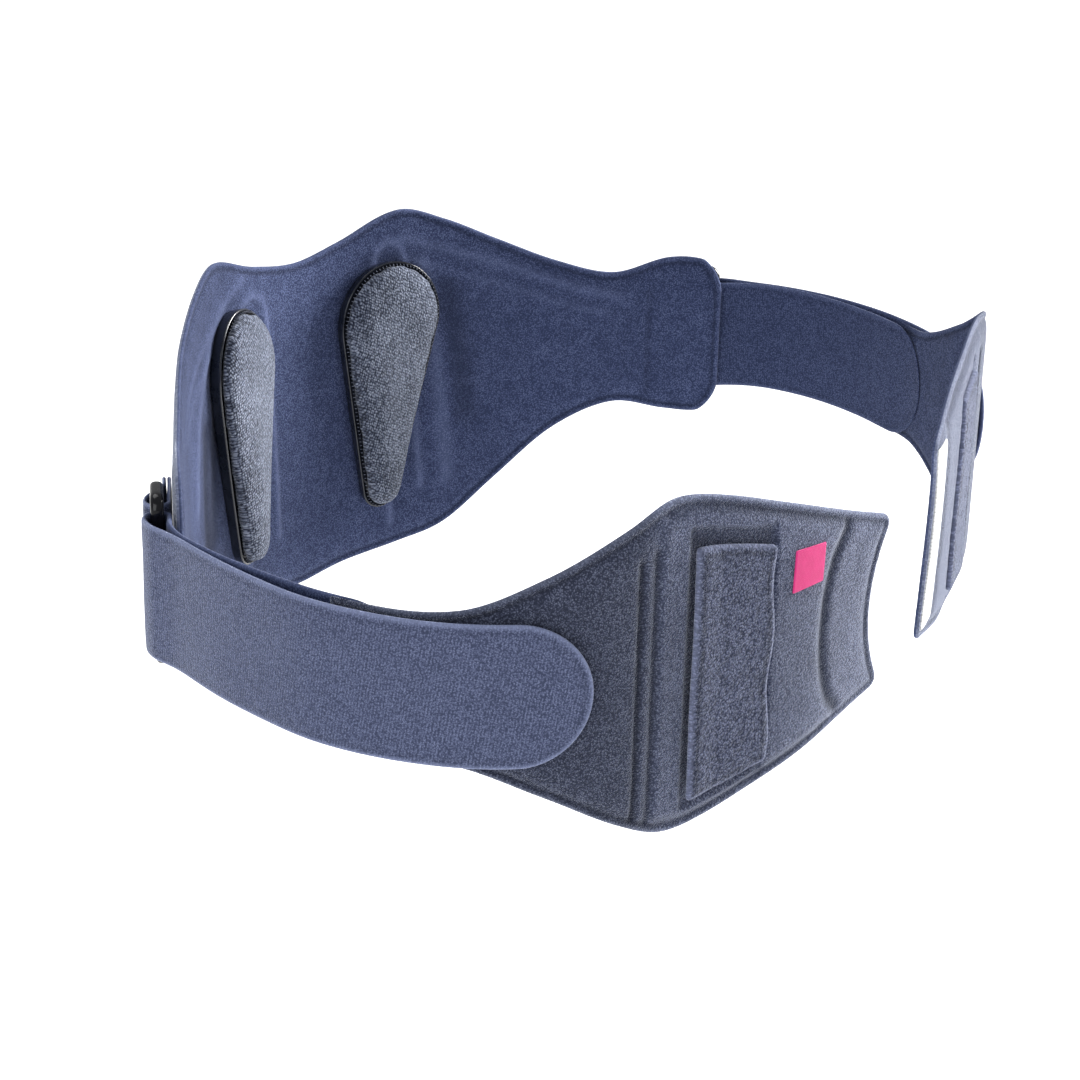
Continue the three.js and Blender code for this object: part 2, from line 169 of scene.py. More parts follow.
# The plan of each front course after its ring: shares of half the width and of half the depth
FRONT_COURSE = {
    Hand.LEFT: (
        (0.967, 0.034),
        (0.985, -0.15),
        (0.985, -0.3),
        (0.957, -0.467),
        (0.903, -0.605),
        (0.81, -0.737),
        (0.738, -0.801),
        (0.652, -0.837),
        (0.544, -0.888),
        (0.399, -0.947),
        (0.205, -0.99),
    ),
    Hand.RIGHT: (
        (0.942, 0.215),
        (0.947, 0.056),
        (0.912, -0.128),
        (0.862, -0.27),
        (0.796, -0.4),
        (0.728, -0.513),
        (0.672, -0.606),
        (0.603, -0.66),
        (0.525, -0.692),
        (0.422, -0.737),
        (0.232, -0.827),
        (0.045, -0.912),
    ),
}

# The back panel from the spine to its end: share of its half length, top and bottom as shares of its height
BACK_OUTLINE = (
    (0, 0.325, -0.625),
    (0.12, 0.355, -0.605),
    (0.27, 0.42, -0.58),
    (0.38, 0.38, -0.54),
    (0.5, 0.31, -0.415),
    (0.63, 0.24, -0.27),
    (0.76, 0.2, -0.198),
    (0.88, 0.24, -0.225),
    (0.96, 0.235, -0.23),
    (1, 0.2, -0.2),
)

# Each front panel from its sewn end to its free end: share of its length, and of half its height
FRONT_OUTLINE = {
    Hand.LEFT: (
        (0, 0.43),
        (0.2, 0.455),
        (0.33, 0.642),
        (0.45, 0.87),
        (0.53, 0.99),
        (0.61, 0.965),
        (0.75, 0.818),
        (0.9, 0.64),
        (1, 0.53),
    ),
    Hand.RIGHT: (
        (0, 0.43),
        (0.1, 0.45),
        (0.25, 0.667),
        (0.35, 0.86),
        (0.45, 0.95),
        (0.55, 0.95),
        (0.7, 0.885),
        (0.85, 0.78),
        (1, 0.64),
    ),
}


# How finely lines are drawn: spots along an edge and across an end, steps in half a corner, and the reach
# and step of a fold's turn in degrees
EDGE_SPOTS = 240
END_SPOTS = 60
ARC_STEPS = 9
FOLD_REACH = 75
FOLD_STEP = 15


# Courses and flat layouts


def smooth_rows(rows: Sequence[Sequence[float]], column: int) -> Callable[[np.ndarray], np.ndarray]:
    """A value that runs smoothly through the rows of a table, level at the first.

    Args:
        rows: The table, with the share along in its first column.
        column: The column to read.

    Returns:
        A function from shares to values.
    """
    table = np.array(rows, float)
    at, value = table[:, 0], table[:, column]
    after = np.minimum(np.arange(len(at)) + 1, len(at) - 1)
    before = np.maximum(np.arange(len(at)) - 1, 0)
    slope = (value[after] - value[before]) / (at[after] - at[before])
    slope[0] = 0.0

    def read(share: np.ndarray) -> np.ndarray:
        """The value at each share."""
        share = np.asarray(share, float)
        row = np.clip(np.searchsorted(at, share, side="left") - 1, 0, len(at) - 2)
        width = at[row + 1] - at[row]
        t = np.clip((share - at[row]) / width, 0, 1)
        start = 1 - t * t * (3 - 2 * t)
        bend = t * (1 - t) * width * ((1 - t) * slope[row] - t * slope[row + 1])
        return start * value[row] + (1 - start) * value[row + 1] + bend

    return read


def smoothstep(value: np.ndarray, low: float, high: float) -> np.ndarray:
    """A smooth rise from 0 at `low` to 1 at `high`."""
    t = np.clip((np.asarray(value, float) - low) / (high - low), 0, 1)
    return t * t * (3 - 2 * t)


def run_of(line: np.ndarray) -> np.ndarray:
    """How far along a line each of its points lies."""
    return np.concatenate([[0.0], np.cumsum(np.linalg.norm(np.diff(line, axis=0), axis=1))])


def read_along(line: np.ndarray, run: np.ndarray, at: np.ndarray) -> np.ndarray:
    """The places on a line at distances along it."""
    return np.stack([np.interp(at, run, column) for column in line.T], -1)


class Course:
    """A smooth plan line through given points, with its length, spots and outward normals."""

    STEPS = 60

    def __init__(self, points: Sequence[Spot]) -> None:
        """Runs a centripetal curve through the points.

        Args:
            points: The points that the line passes through, in millimetres.
        """
        given = np.asarray(points, float)
        ends = np.vstack([2 * given[0] - given[1], given, 2 * given[-1] - given[-2]])
        spots, tangents = [], []
        for i in range(len(given) - 1):
            last = i == len(given) - 2
            spot, tangent = self._piece(*ends[i : i + 4], last)
            spots.append(spot)
            tangents.append(tangent)
        self.spots = np.vstack(spots)
        self.tangents = np.vstack(tangents)
        self.run = run_of(self.spots)
        self.length = float(self.run[-1])
        knots = [min(i * self.STEPS, len(self.run) - 1) for i in range(len(given))]
        self.knots = self.run[knots] / self.length

    def _piece(self, a: np.ndarray, b: np.ndarray, c: np.ndarray, d: np.ndarray, last: bool) -> tuple:
        """The spots and unit tangents of one piece, from b to c."""
        span = [max(float(np.sum((q - p) ** 2)), TINY) ** 0.25 for p, q in ((a, b), (b, c), (c, d))]
        leave = ((b - a) / span[0] - (c - a) / (span[0] + span[1]) + (c - b) / span[1]) * span[1]
        arrive = ((c - b) / span[1] - (d - b) / (span[1] + span[2]) + (d - c) / span[2]) * span[1]
        t = np.linspace(0, 1, self.STEPS, endpoint=last)[:, None]
        square = -3 * b + 3 * c - 2 * leave - arrive
        cube = 2 * b - 2 * c + leave + arrive
        spots = b + leave * t + square * t**2 + cube * t**3
        slopes = leave + 2 * square * t + 3 * cube * t**2
        return spots, slopes / np.linalg.norm(slopes, axis=1, keepdims=True)

    def at(self, distance: np.ndarray) -> tuple[np.ndarray, np.ndarray, np.ndarray]:
        """The spots, tangents and outward normals at distances along the line."""
        distance = np.asarray(distance, float)
        held = np.clip(distance, 0, self.length)
        spot = read_along(self.spots, self.run, held)
        tangent = read_along(self.tangents, self.run, held)
        tangent = tangent / np.linalg.norm(tangent, axis=-1, keepdims=True)
        spot = spot + tangent * (distance - held)[..., None]
        normal = np.stack([-tangent[..., 1], tangent[..., 0]], -1)
        return spot, tangent, normal

    def beside(self, distance: np.ndarray, outward: np.ndarray) -> np.ndarray:
        """The spots at distances along the line, moved outward."""
        spot, _, normal = self.at(distance)
        return spot + normal * np.asarray(outward, float)[..., None]


@dataclass(frozen=True)
class Stand:
    """Where a flat layout stands: along a course, on one side of the belt."""

    course: Course
    side: int = 1

    def place(self, s: np.ndarray, z: np.ndarray, out: np.ndarray) -> np.ndarray:
        """Points in metres for flat places, moved outward by `out`."""
        flat = self.course.beside(s, out)
        return np.stack([self.side * flat[..., 0], flat[..., 1], np.asarray(z, float)], -1) * MM

    def directions(self, s: float) -> tuple[Vector, Vector]:
        """The tangent and the outward normal at a distance."""
        _, tangent, normal = self.course.at(np.array(s))
        return (
            Vector((self.side * tangent[0], tangent[1], 0)),
            Vector((self.side * normal[0], normal[1], 0)),
        )


def back_spots() -> list[Spot]:
    """The plan points of the back panel, from its left end to its right end."""

    def spot(hand: Hand, row: Spot) -> Spot:
        """One row of the plan in millimetres."""
        side = SPINE_SIDE + (BACK_END[hand][0] - SPINE_SIDE) * row[0]
        back = 1 + (BACK_END[hand][1] - 1) * row[1]
        return side * SIZES.half_width, back * SIZES.half_depth

    left = [spot(Hand.LEFT, row) for row in reversed(BACK_COURSE[Hand.LEFT])]
    return left + [spot(Hand.RIGHT, row) for row in BACK_COURSE[Hand.RIGHT][1:]]


BACK_SPOTS = back_spots()
BACK = {
    Hand.RIGHT: Course(BACK_SPOTS),
    Hand.LEFT: Course([(-x, y) for x, y in reversed(BACK_SPOTS)]),
}
SPINE_SHARE = {hand: float(BACK[hand].knots[len(BACK_SPOTS) // 2]) for hand in Hand}


def front_bar(hand: Hand) -> np.ndarray:
    """The plan place of the ring's front bar."""
    course = BACK[hand]
    return course.beside(np.array(course.length - SIZES.ring_inset), np.array(SIZES.ring_outward))


def front_course(hand: Hand) -> Course:
    """The plan line of one side from its ring to its free end."""
    back = BACK[hand]
    lead = back.beside(
        np.array(back.length + SIZES.back_wall / 2), np.array(SIZES.ring_outward + SIZES.clearance)
    )
    rest = [(side * SIZES.half_width, depth * SIZES.half_depth) for side, depth in FRONT_COURSE[hand]]
    return Course([tuple(front_bar(hand)), tuple(lead), *rest])


def folded_course(
    first: np.ndarray, bar: np.ndarray, turn_back: np.ndarray, reach: float, last: np.ndarray
) -> Course:
    """A strip's line along one layer to a bar, round it, and back along the other layer.

    Args:
        first: The points of the layer that leads to the bar.
        bar: The bar's middle.
        turn_back: The direction in which the fold bulges away from the layers.
        reach: From the bar's middle to the strip's middle.
        last: The points of the layer that leads away.

    Returns:
        The whole line.
    """
    across = np.array([-turn_back[1], turn_back[0]])
    angles = np.radians(np.arange(-FOLD_REACH, FOLD_REACH + 1, FOLD_STEP))[:, None]
    fold = bar + turn_back * reach * np.cos(angles) + across * reach * np.sin(angles)
    if np.linalg.norm(last[0] - fold[-1]) >= np.linalg.norm(last[0] - fold[0]):
        fold = fold[::-1]
    return Course(np.vstack([first, fold, last]))


def trimmed(line: np.ndarray, length: float) -> np.ndarray:
    """A line without its last `length`."""
    run = run_of(line)
    end = run[-1] - length
    return np.vstack([line[run < end - HAIR], read_along(line, run, end)])


def rounded(first: np.ndarray, second: np.ndarray, radius: float) -> tuple[np.ndarray, np.ndarray]:
    """Rounds the corner where one side ends and the next begins. They then meet in the middle of the arc."""
    before, after = trimmed(first, radius), trimmed(second[::-1], radius)[::-1]
    corner = first[-1]
    angles = np.linspace(0, math.pi / 2, 2 * ARC_STEPS + 1)
    arc = corner + np.outer(1 - np.sin(angles), before[-1] - corner)
    arc = arc + np.outer(1 - np.cos(angles), after[0] - corner)
    return np.vstack([before, arc[1 : ARC_STEPS + 1]]), np.vstack([arc[ARC_STEPS:-1], after])


def line_distance(points: np.ndarray, line: np.ndarray) -> np.ndarray:
    """How far each flat point lies from a line of segments."""
    best = np.full(len(points), np.inf)
    for a, b in zip(line[:-1], line[1:]):
        along = b - a
        square = max(float(along @ along), TINY)
        t = np.clip(((points - a) @ along) / square, 0, 1)
        gap = points - a - t[:, None] * along
        best = np.minimum(best, gap[:, 0] ** 2 + gap[:, 1] ** 2)
    return np.sqrt(best)


def inside(points: np.ndarray, loop: np.ndarray) -> np.ndarray:
    """Which flat points lie inside a closed line."""
    found = np.zeros(len(points), bool)
    for a, b in zip(loop, np.roll(loop, -1, axis=0)):
        crosses = (a[1] > points[:, 1]) != (b[1] > points[:, 1])
        rise = b[1] - a[1] if abs(b[1] - a[1]) > TINY else TINY
        found ^= crosses & (points[:, 0] < (b[0] - a[0]) * (points[:, 1] - a[1]) / rise + a[0])
    return found


@dataclass
class FlatOutline:
    """The four sides of a flat piece. Bottom and top run from start to end, and the two ends run upward."""

    bottom: np.ndarray
    end: np.ndarray
    top: np.ndarray
    start: np.ndarray

    @classmethod
    def between(
        cls,
        low: Callable[[np.ndarray], np.ndarray],
        high: Callable[[np.ndarray], np.ndarray],
        first: float,
        last: float,
        hollow: float = 0.0,
        corners: Spot = (0.0, 0.0),
    ) -> "FlatOutline":
        """An outline between two edges.

        Args:
            low: The bottom edge's height at a distance.
            high: The top edge's height at a distance.
            first: The distance at which the piece starts.
            last: The distance at which it ends.
            hollow: How far its last end curves in.
            corners: The radius of the corners at its start and at its end.

        Returns:
            The outline.
        """
        s = np.linspace(first, last, EDGE_SPOTS)
        t = np.linspace(0, 1, END_SPOTS)
        bottom, top = np.stack([s, low(s)], 1), np.stack([s, high(s)], 1)
        start = np.stack([np.full(END_SPOTS, first), bottom[0, 1] + t * (top[0, 1] - bottom[0, 1])], 1)
        rise = bottom[-1, 1] + t * (top[-1, 1] - bottom[-1, 1])
        end = np.stack([last - 4 * hollow * t * (1 - t), rise], 1)
        return cls(bottom, end, top, start).with_corners(*corners)

    @classmethod
    def strip(cls, half: float, first: float, last: float, corners: Spot) -> "FlatOutline":
        """A straight strip from one distance to another, with `half` its width to each side."""
        return cls.between(
            lambda s: np.full(np.shape(s), -half),
            lambda s: np.full(np.shape(s), half),
            first,
            last,
            corners=corners,
        )

    def with_corners(self, start_radius: float, end_radius: float) -> "FlatOutline":
        """This outline with rounded corners at its two ends."""
        bottom, end, top, start = self.bottom, self.end, self.top[::-1], self.start[::-1]
        if end_radius:
            bottom, end = rounded(bottom, end, end_radius)
            end, top = rounded(end, top, end_radius)
        if start_radius:
            top, start = rounded(top, start, start_radius)
            start, bottom = rounded(start, bottom, start_radius)
        return FlatOutline(bottom, end, top[::-1], start[::-1])

    def loop(self) -> np.ndarray:
        """The whole outline as one closed line."""
        parts = [self.bottom, self.end[1:], self.top[::-1][1:], self.start[::-1][1:]]
        return np.vstack(parts)

    def grid(self, us: np.ndarray, vs: np.ndarray) -> np.ndarray:
        """Flat places for shares along and up, shaped (along, up, 2)."""

        def read(line: np.ndarray, shares: np.ndarray, axis: int) -> np.ndarray:
            """The places on a side at shares of its run."""
            key = (line[:, axis] - line[0, axis]) / (line[-1, axis] - line[0, axis])
            key = np.maximum.accumulate(key)
            return read_along(line, key, shares)

        bottom, top = read(self.bottom, us, 0)[:, None], read(self.top, us, 0)[:, None]
        start, end = read(self.start, vs, 1)[None], read(self.end, vs, 1)[None]
        u, v = us[:, None, None], vs[None, :, None]
        corners = (1 - u) * ((1 - v) * bottom[0] + v * top[0]) + u * ((1 - v) * bottom[-1] + v * top[-1])
        return (1 - v) * bottom + v * top + (1 - u) * start + u * end - corners


# Sheets with their rims, sewn lines and raised fields


@dataclass(frozen=True)
class Rim:
    """How thick a sheet is near its edge: rows of distance from the edge and half the thickness."""

    rows: tuple[Spot, ...]

    def half(self, distance: np.ndarray) -> np.ndarray:
        """Half the thickness at distances from the edge."""
        table = np.array(self.rows)
        return np.interp(distance, table[:, 0], table[:, 1])


PANEL_RIM = Rim(
    (
        (0, 0),
        (0.12, 0.5),
        (0.35, 0.85),
        (0.8, 1.1),
        (1.4, 1.15),
        (2.1, 1.0),
        (2.8, 0.72),
        (3.5, 0.86),
        (4.5, 1.3),
        (6, 1.65),
        (8.5, 1.88),
        (12, 2.0),
    )
)
STRAP_RIM = Rim(
    ((0, 0), (0.1, 0.4), (0.3, 0.68), (0.8, 0.88), (1.6, 0.93), (2.2, 0.88), (3, 0.95), (4.5, 1.0))
)
TAB_RIM = Rim(((0, 0), (0.12, 0.4), (0.4, 0.66), (1.2, 0.72), (2, 0.62), (2.8, 0.76), (4, 0.8)))
FLAP_RIM = Rim(((0, 0), (0.2, 0.65), (0.5, 1.05), (1.1, 1.4), (2.2, 1.6), (4, 1.8), (7, 2.0)))
TAPE_RIM = Rim(((0, 0), (0.1, 0.35), (0.4, 0.45), (1.4, 0.42), (1.9, 0.6)))
LABEL_RIM = Rim(((0, 0), (0.1, 0.3), (0.4, 0.42), (1.0, 0.4), (2, 0.4)))

# A face near its edge: the painted light and width of its lip (partly rubbed pile, partly painted sheen),
# the painted shade, inset and width of its seam groove, where the relief fades out and where the tufts do
LIP_LIGHT = (0.8, 1.3)
SEAM_SHADE = (0.7, 2.9, 0.9)
RELIEF_FADE = (0.4, 3.0)
TUFT_FADE = (0.0, 1.0)
TUFT_SEEDS = {Face.OUTER: 1.3, Face.INNER: 7.9}
EVERY_SPOT = 12


@dataclass(frozen=True)
class SewnLine:
    """A line sewn or welded into a face. It is raised or sunk by `rise`, over `width` to each side, and
    painted lighter where raised and darker where sunk, as painted light and shade.
    """

    points: tuple[Spot, ...]
    rise: float
    width: float
    faces: tuple[Face, ...] = INSIDE

    def line(self) -> np.ndarray:
        """The line as flat points, close together."""
        return Course(self.points).spots[::EVERY_SPOT]

    def heights(self, places: np.ndarray) -> np.ndarray:
        """How far the line lifts the face at flat places."""
        gap = line_distance(places, self.line())
        return self.rise * np.exp(-((gap / self.width) ** 2))


@dataclass(frozen=True)
class Field:
    """A raised or sunk area of a face, with soft walls, and a tone that scales its colour inside; the flap's
    hollow uses it for painted shade.
    """

    corners: tuple[Spot, ...]
    rise: float
    wall: float
    faces: tuple[Face, ...] = OUTSIDE
    tone: float = 1.0

    def cover(self, places: np.ndarray) -> np.ndarray:
        """How far inside the area flat places are, from 0 to 1."""
        loop = np.array(self.corners, float)
        gap = line_distance(places, np.vstack([loop, loop[:1]]))
        signed = np.where(inside(places, loop), gap, -gap)
        return smoothstep(signed, -self.wall / 2, self.wall / 2)

    def heights(self, places: np.ndarray) -> np.ndarray:
        """How far the area lifts the face at flat places."""
        return self.rise * self.cover(places)


EDGE_ROWS = (0.0, 0.2, 0.5, 0.9, 1.4, 2.0, 2.6, 3.2, 4.0, 5.0, 6.3)


def fine_edges(length: float, step: float) -> np.ndarray:
    """Shares of a length that lie close together near both ends, and a step apart between them."""
    near = np.array([row for row in EDGE_ROWS if row < length / 3])
    count = max(3, round((length - 2 * near[-1]) / step) + 1)
    middle = np.linspace(near[-1], length - near[-1], count)
    return np.concatenate([near[:-1], middle, length - near[-2::-1]]) / length


def value_noise(places: np.ndarray, size: float, seed: float) -> np.ndarray:
    """Smooth noise from -1 to 1 at flat places, with lumps of about `size` millimetres."""
    return np.array([noise.noise(Vector((x / size, y / size, seed))) for x, y in places])


def mark(mesh: bpy.types.Mesh, name: str, values: np.ndarray) -> None:
    """Stores a value for each point of a mesh."""
    attribute = mesh.attributes.get(name) or mesh.attributes.new(name, "FLOAT", "POINT")
    attribute.data.foreach_set("value", values.astype(np.float32))


def map_flat(mesh: bpy.types.Mesh, flat: np.ndarray) -> None:
    """Maps a mesh by the flat place of each of its points, given in millimetres."""
    corner = np.zeros(len(mesh.loops), np.int32)
    mesh.loops.foreach_get("vertex_index", corner)
    layer = mesh.uv_layers.new(name=CUT)
    layer.uv.foreach_set("vector", (flat[corner] * MM).astype(np.float32).ravel())


def shade_smooth(mesh: bpy.types.Mesh) -> None:
    """Shades every face of a mesh smooth."""
    mesh.polygons.foreach_set("use_smooth", np.ones(len(mesh.polygons), bool))


def turn_outward(piece: bpy.types.Object, merge: float = 0.0) -> None:
    """Turns a closed piece's faces outward, after joining points that lie within `merge` metres."""
    bm = bmesh.new()
    bm.from_mesh(piece.data)
    if merge:
        bmesh.ops.remove_doubles(bm, verts=bm.verts, dist=merge)
    bmesh.ops.recalc_face_normals(bm, faces=bm.faces)
    bm.to_mesh(piece.data)
    bm.free()


def tube_faces(rings: int, around: int, closed: bool = False) -> list[tuple[int, int, int, int]]:
    """The faces of a tube through rings of points. The last ring joins the first if it is closed."""
    faces = []
    for k in range(rings if closed else rings - 1):
        near, far = k * around, (k + 1) % rings * around
        for j in range(around):
            after = (j + 1) % around
            faces.append((near + j, near + after, far + after, far + j))
    return faces


def new_object(
    name: str,
    points: np.ndarray,
    faces: np.ndarray | list,
    cut: np.ndarray | None = None,
    wear_and_shading: np.ndarray | None = None,
    slots: np.ndarray | None = None,
    tone: np.ndarray | None = None,
) -> bpy.types.Object:
    """Makes a smooth mesh object.

    Args:
        name: The piece's name.
        points: Its points in metres.
        faces: Its faces, as rows of point numbers.
        cut: The flat place of each point in millimetres, for its map.
        wear_and_shading: How much lighter or darker each point is painted, from -1 to 1: painted highlight
            where raised, partly rubbed pile at the lip, and painted shade where sunk.
        slots: The number of each face's finish.
        tone: How light each point's cloth is, against its plain tone, with painted shade in the flap's
            hollow and in the back lining's fold bands.

    Returns:
        The object, in the scene.
    """
    mesh = bpy.data.meshes.new(name)
    rows = faces.tolist() if isinstance(faces, np.ndarray) else faces
    mesh.from_pydata(points.tolist(), [], rows)
    shade_smooth(mesh)
    if slots is not None:
        mesh.polygons.foreach_set("material_index", slots.astype(np.int32))
    if cut is not None:
        map_flat(mesh, cut)
    if wear_and_shading is not None:
        mark(mesh, WEAR_AND_SHADING, np.clip(wear_and_shading, -1, 1))
    mark(mesh, TONE, np.ones(len(points)) if tone is None else tone)
    mesh.update()
    made = bpy.data.objects.new(name, mesh)
    bpy.context.scene.collection.objects.link(made)
    return made


def cut_area(outline: FlatOutline) -> float:
    """The area of a flat cut, in square metres."""
    x, y = outline.loop().T
    return 0.5 * abs(float(np.sum(x * np.roll(y, -1) - y * np.roll(x, -1)))) * MM * MM


def cut_size(outline: FlatOutline) -> tuple[float, float]:
    """The height and the length of a flat cut, in metres."""
    loop = outline.loop()
    return float(np.ptp(loop[:, 1])) * MM, float(np.ptp(loop[:, 0])) * MM


def volume_of(points: np.ndarray, quads: np.ndarray) -> float:
    """The signed volume that quads enclose."""
    a, b, c, d = (points[quads[:, k]] for k in range(4))
    return float((np.cross(a, b) * c).sum() + (np.cross(a, c) * d).sum()) / 6


@dataclass
class Sheet:
    """A sewn sheet: its flat outline, thickness and sewn details, stood up along a course."""

    name: str
    stand: Stand
    outline: FlatOutline
    rim: Rim
    step: float
    middle: float = 0.0
    lines: tuple[SewnLine, ...] = ()
    fields: tuple[Field, ...] = ()
    bend: FlatRule | None = None
    thin: FlatRule | None = None
    tones: FlatRule | None = None
    toned_face: Face = Face.OUTER
    # How strongly the edge lip is painted lighter (partly rubbed pile, partly painted sheen) and the seam
    # groove painted darker as shade
    rubbed: float = 1.0
    seam_shading: float = 1.0
    pile: float = 0.05
    pile_size: float = 1.3

    def build(self) -> bpy.types.Object:
        """Makes the sheet's object. Its outer face has the first finish, and its inner face the second."""
        length, tallest = np.ptp(self.outline.loop(), axis=0)
        height = (np.ptp(self.outline.start[:, 1]) + tallest) / 2
        us, vs = fine_edges(float(length), self.step), fine_edges(float(height), self.step)
        flat = self.outline.grid(us, vs)
        count = flat.shape[:2]
        places = flat.reshape(-1, 2)
        edge = line_distance(places, self.outline.loop())
        thin = np.ones(len(places)) if self.thin is None else self.thin(places[:, 0], places[:, 1])
        half = self.rim.half(edge) * thin
        fade = smoothstep(edge, *RELIEF_FADE)
        # Painted light and shade near the edge: a lighter lip (partly rubbed pile, partly painted sheen),
        # and painted shade in the seam groove
        lip = LIP_LIGHT[0] * self.rubbed * np.exp(-((edge / LIP_LIGHT[1]) ** 2)) * thin**2
        lip = lip - SEAM_SHADE[0] * self.seam_shading * np.exp(-(((edge - SEAM_SHADE[1]) / SEAM_SHADE[2]) ** 2))
        lift, wear_and_shading = {}, {}
        for face, seed in TUFT_SEEDS.items():
            tuft = value_noise(places, self.pile_size, seed) * self.pile
            lift[face] = half + self._relief(places, face) * fade + tuft * smoothstep(edge, *TUFT_FADE)
            # Sewn lines and folds are painted lighter where raised and darker where sunk: painted light and
            # shade
            sewn = [line.heights(places) for line in self.lines if face in line.faces]
            wear_and_shading[face] = lip + sum(sewn, np.zeros(len(places))) * fade
        bend = 0.0 if self.bend is None else self.bend(places[:, 0], places[:, 1])
        outer = self.stand.place(places[:, 0], places[:, 1], self.middle + bend + lift[Face.OUTER])
        inner = self.stand.place(places[:, 0], places[:, 1], self.middle + bend - lift[Face.INNER])
        return self._assembled(count, places, outer, inner, wear_and_shading)

    def _relief(self, places: np.ndarray, face: Face) -> np.ndarray:
        """How far the sewn lines and areas lift a face at flat places."""
        shaped = [part.heights(places) for part in (*self.lines, *self.fields) if face in part.faces]
        return sum(shaped, np.zeros(len(places)))

    def outer_face(self, s: np.ndarray, z: np.ndarray) -> np.ndarray:
        """How far outward the outer face lies at flat places."""
        places = np.stack([s, z], 1)
        edge = line_distance(places, self.outline.loop())
        bend = 0.0 if self.bend is None else self.bend(s, z)
        relief = self._relief(places, Face.OUTER) * smoothstep(edge, *RELIEF_FADE)
        return self.middle + bend + self.rim.half(edge) + relief

    def _tone(self, places: np.ndarray, face: Face) -> np.ndarray:
        """How light the cloth is at flat places, with the painted shade of a darkened field."""
        tone = np.ones(len(places))
        if self.tones is not None and face is self.toned_face:
            tone = self.tones(places[:, 0], places[:, 1])
        for area in self.fields:
            if face in area.faces:
                tone = tone * (1 + (area.tone - 1) * area.cover(places))
        return tone

    def _assembled(
        self, count: tuple[int, int], places: np.ndarray, outer: np.ndarray, inner: np.ndarray, wear_and_shading: dict
    ) -> bpy.types.Object:
        """Joins the two faces round their shared edge."""
        numbers = np.arange(count[0] * count[1]).reshape(count)
        border = np.ones(count, bool)
        border[1:-1, 1:-1] = False
        under = numbers.copy()
        under[~border] = numbers.size + np.arange(int((~border).sum()))

        def quads(grid: np.ndarray) -> np.ndarray:
            """The faces of a grid of point numbers."""
            rows = (grid[:-1, :-1], grid[1:, :-1], grid[1:, 1:], grid[:-1, 1:])
            return np.stack([part.ravel() for part in rows], 1)

        top, bottom = quads(numbers), quads(under)[:, ::-1]
        rest = ~border.ravel()
        points = np.vstack([outer, inner[rest]])
        points[: numbers.size][border.ravel()] = (outer[border.ravel()] + inner[border.ravel()]) / 2
        faces = np.vstack([top, bottom])
        if volume_of(points, faces) < 0:
            faces = faces[:, ::-1]
        slots = np.concatenate([np.zeros(len(top)), np.ones(len(bottom))])
        cut = np.vstack([places, places[rest]])
        marks = np.concatenate([wear_and_shading[Face.OUTER], wear_and_shading[Face.INNER][rest]])
        tone = np.concatenate([self._tone(places, Face.OUTER), self._tone(places[rest], Face.INNER)])
        return new_object(self.name, points, faces, cut, marks, slots, tone)


# Finishes


def scaled(colour: Colour, gain: float, lift: float = 0.0) -> Colour:
    """A colour made lighter or darker."""
    return tuple(min(1.0, part * gain + lift) for part in colour)


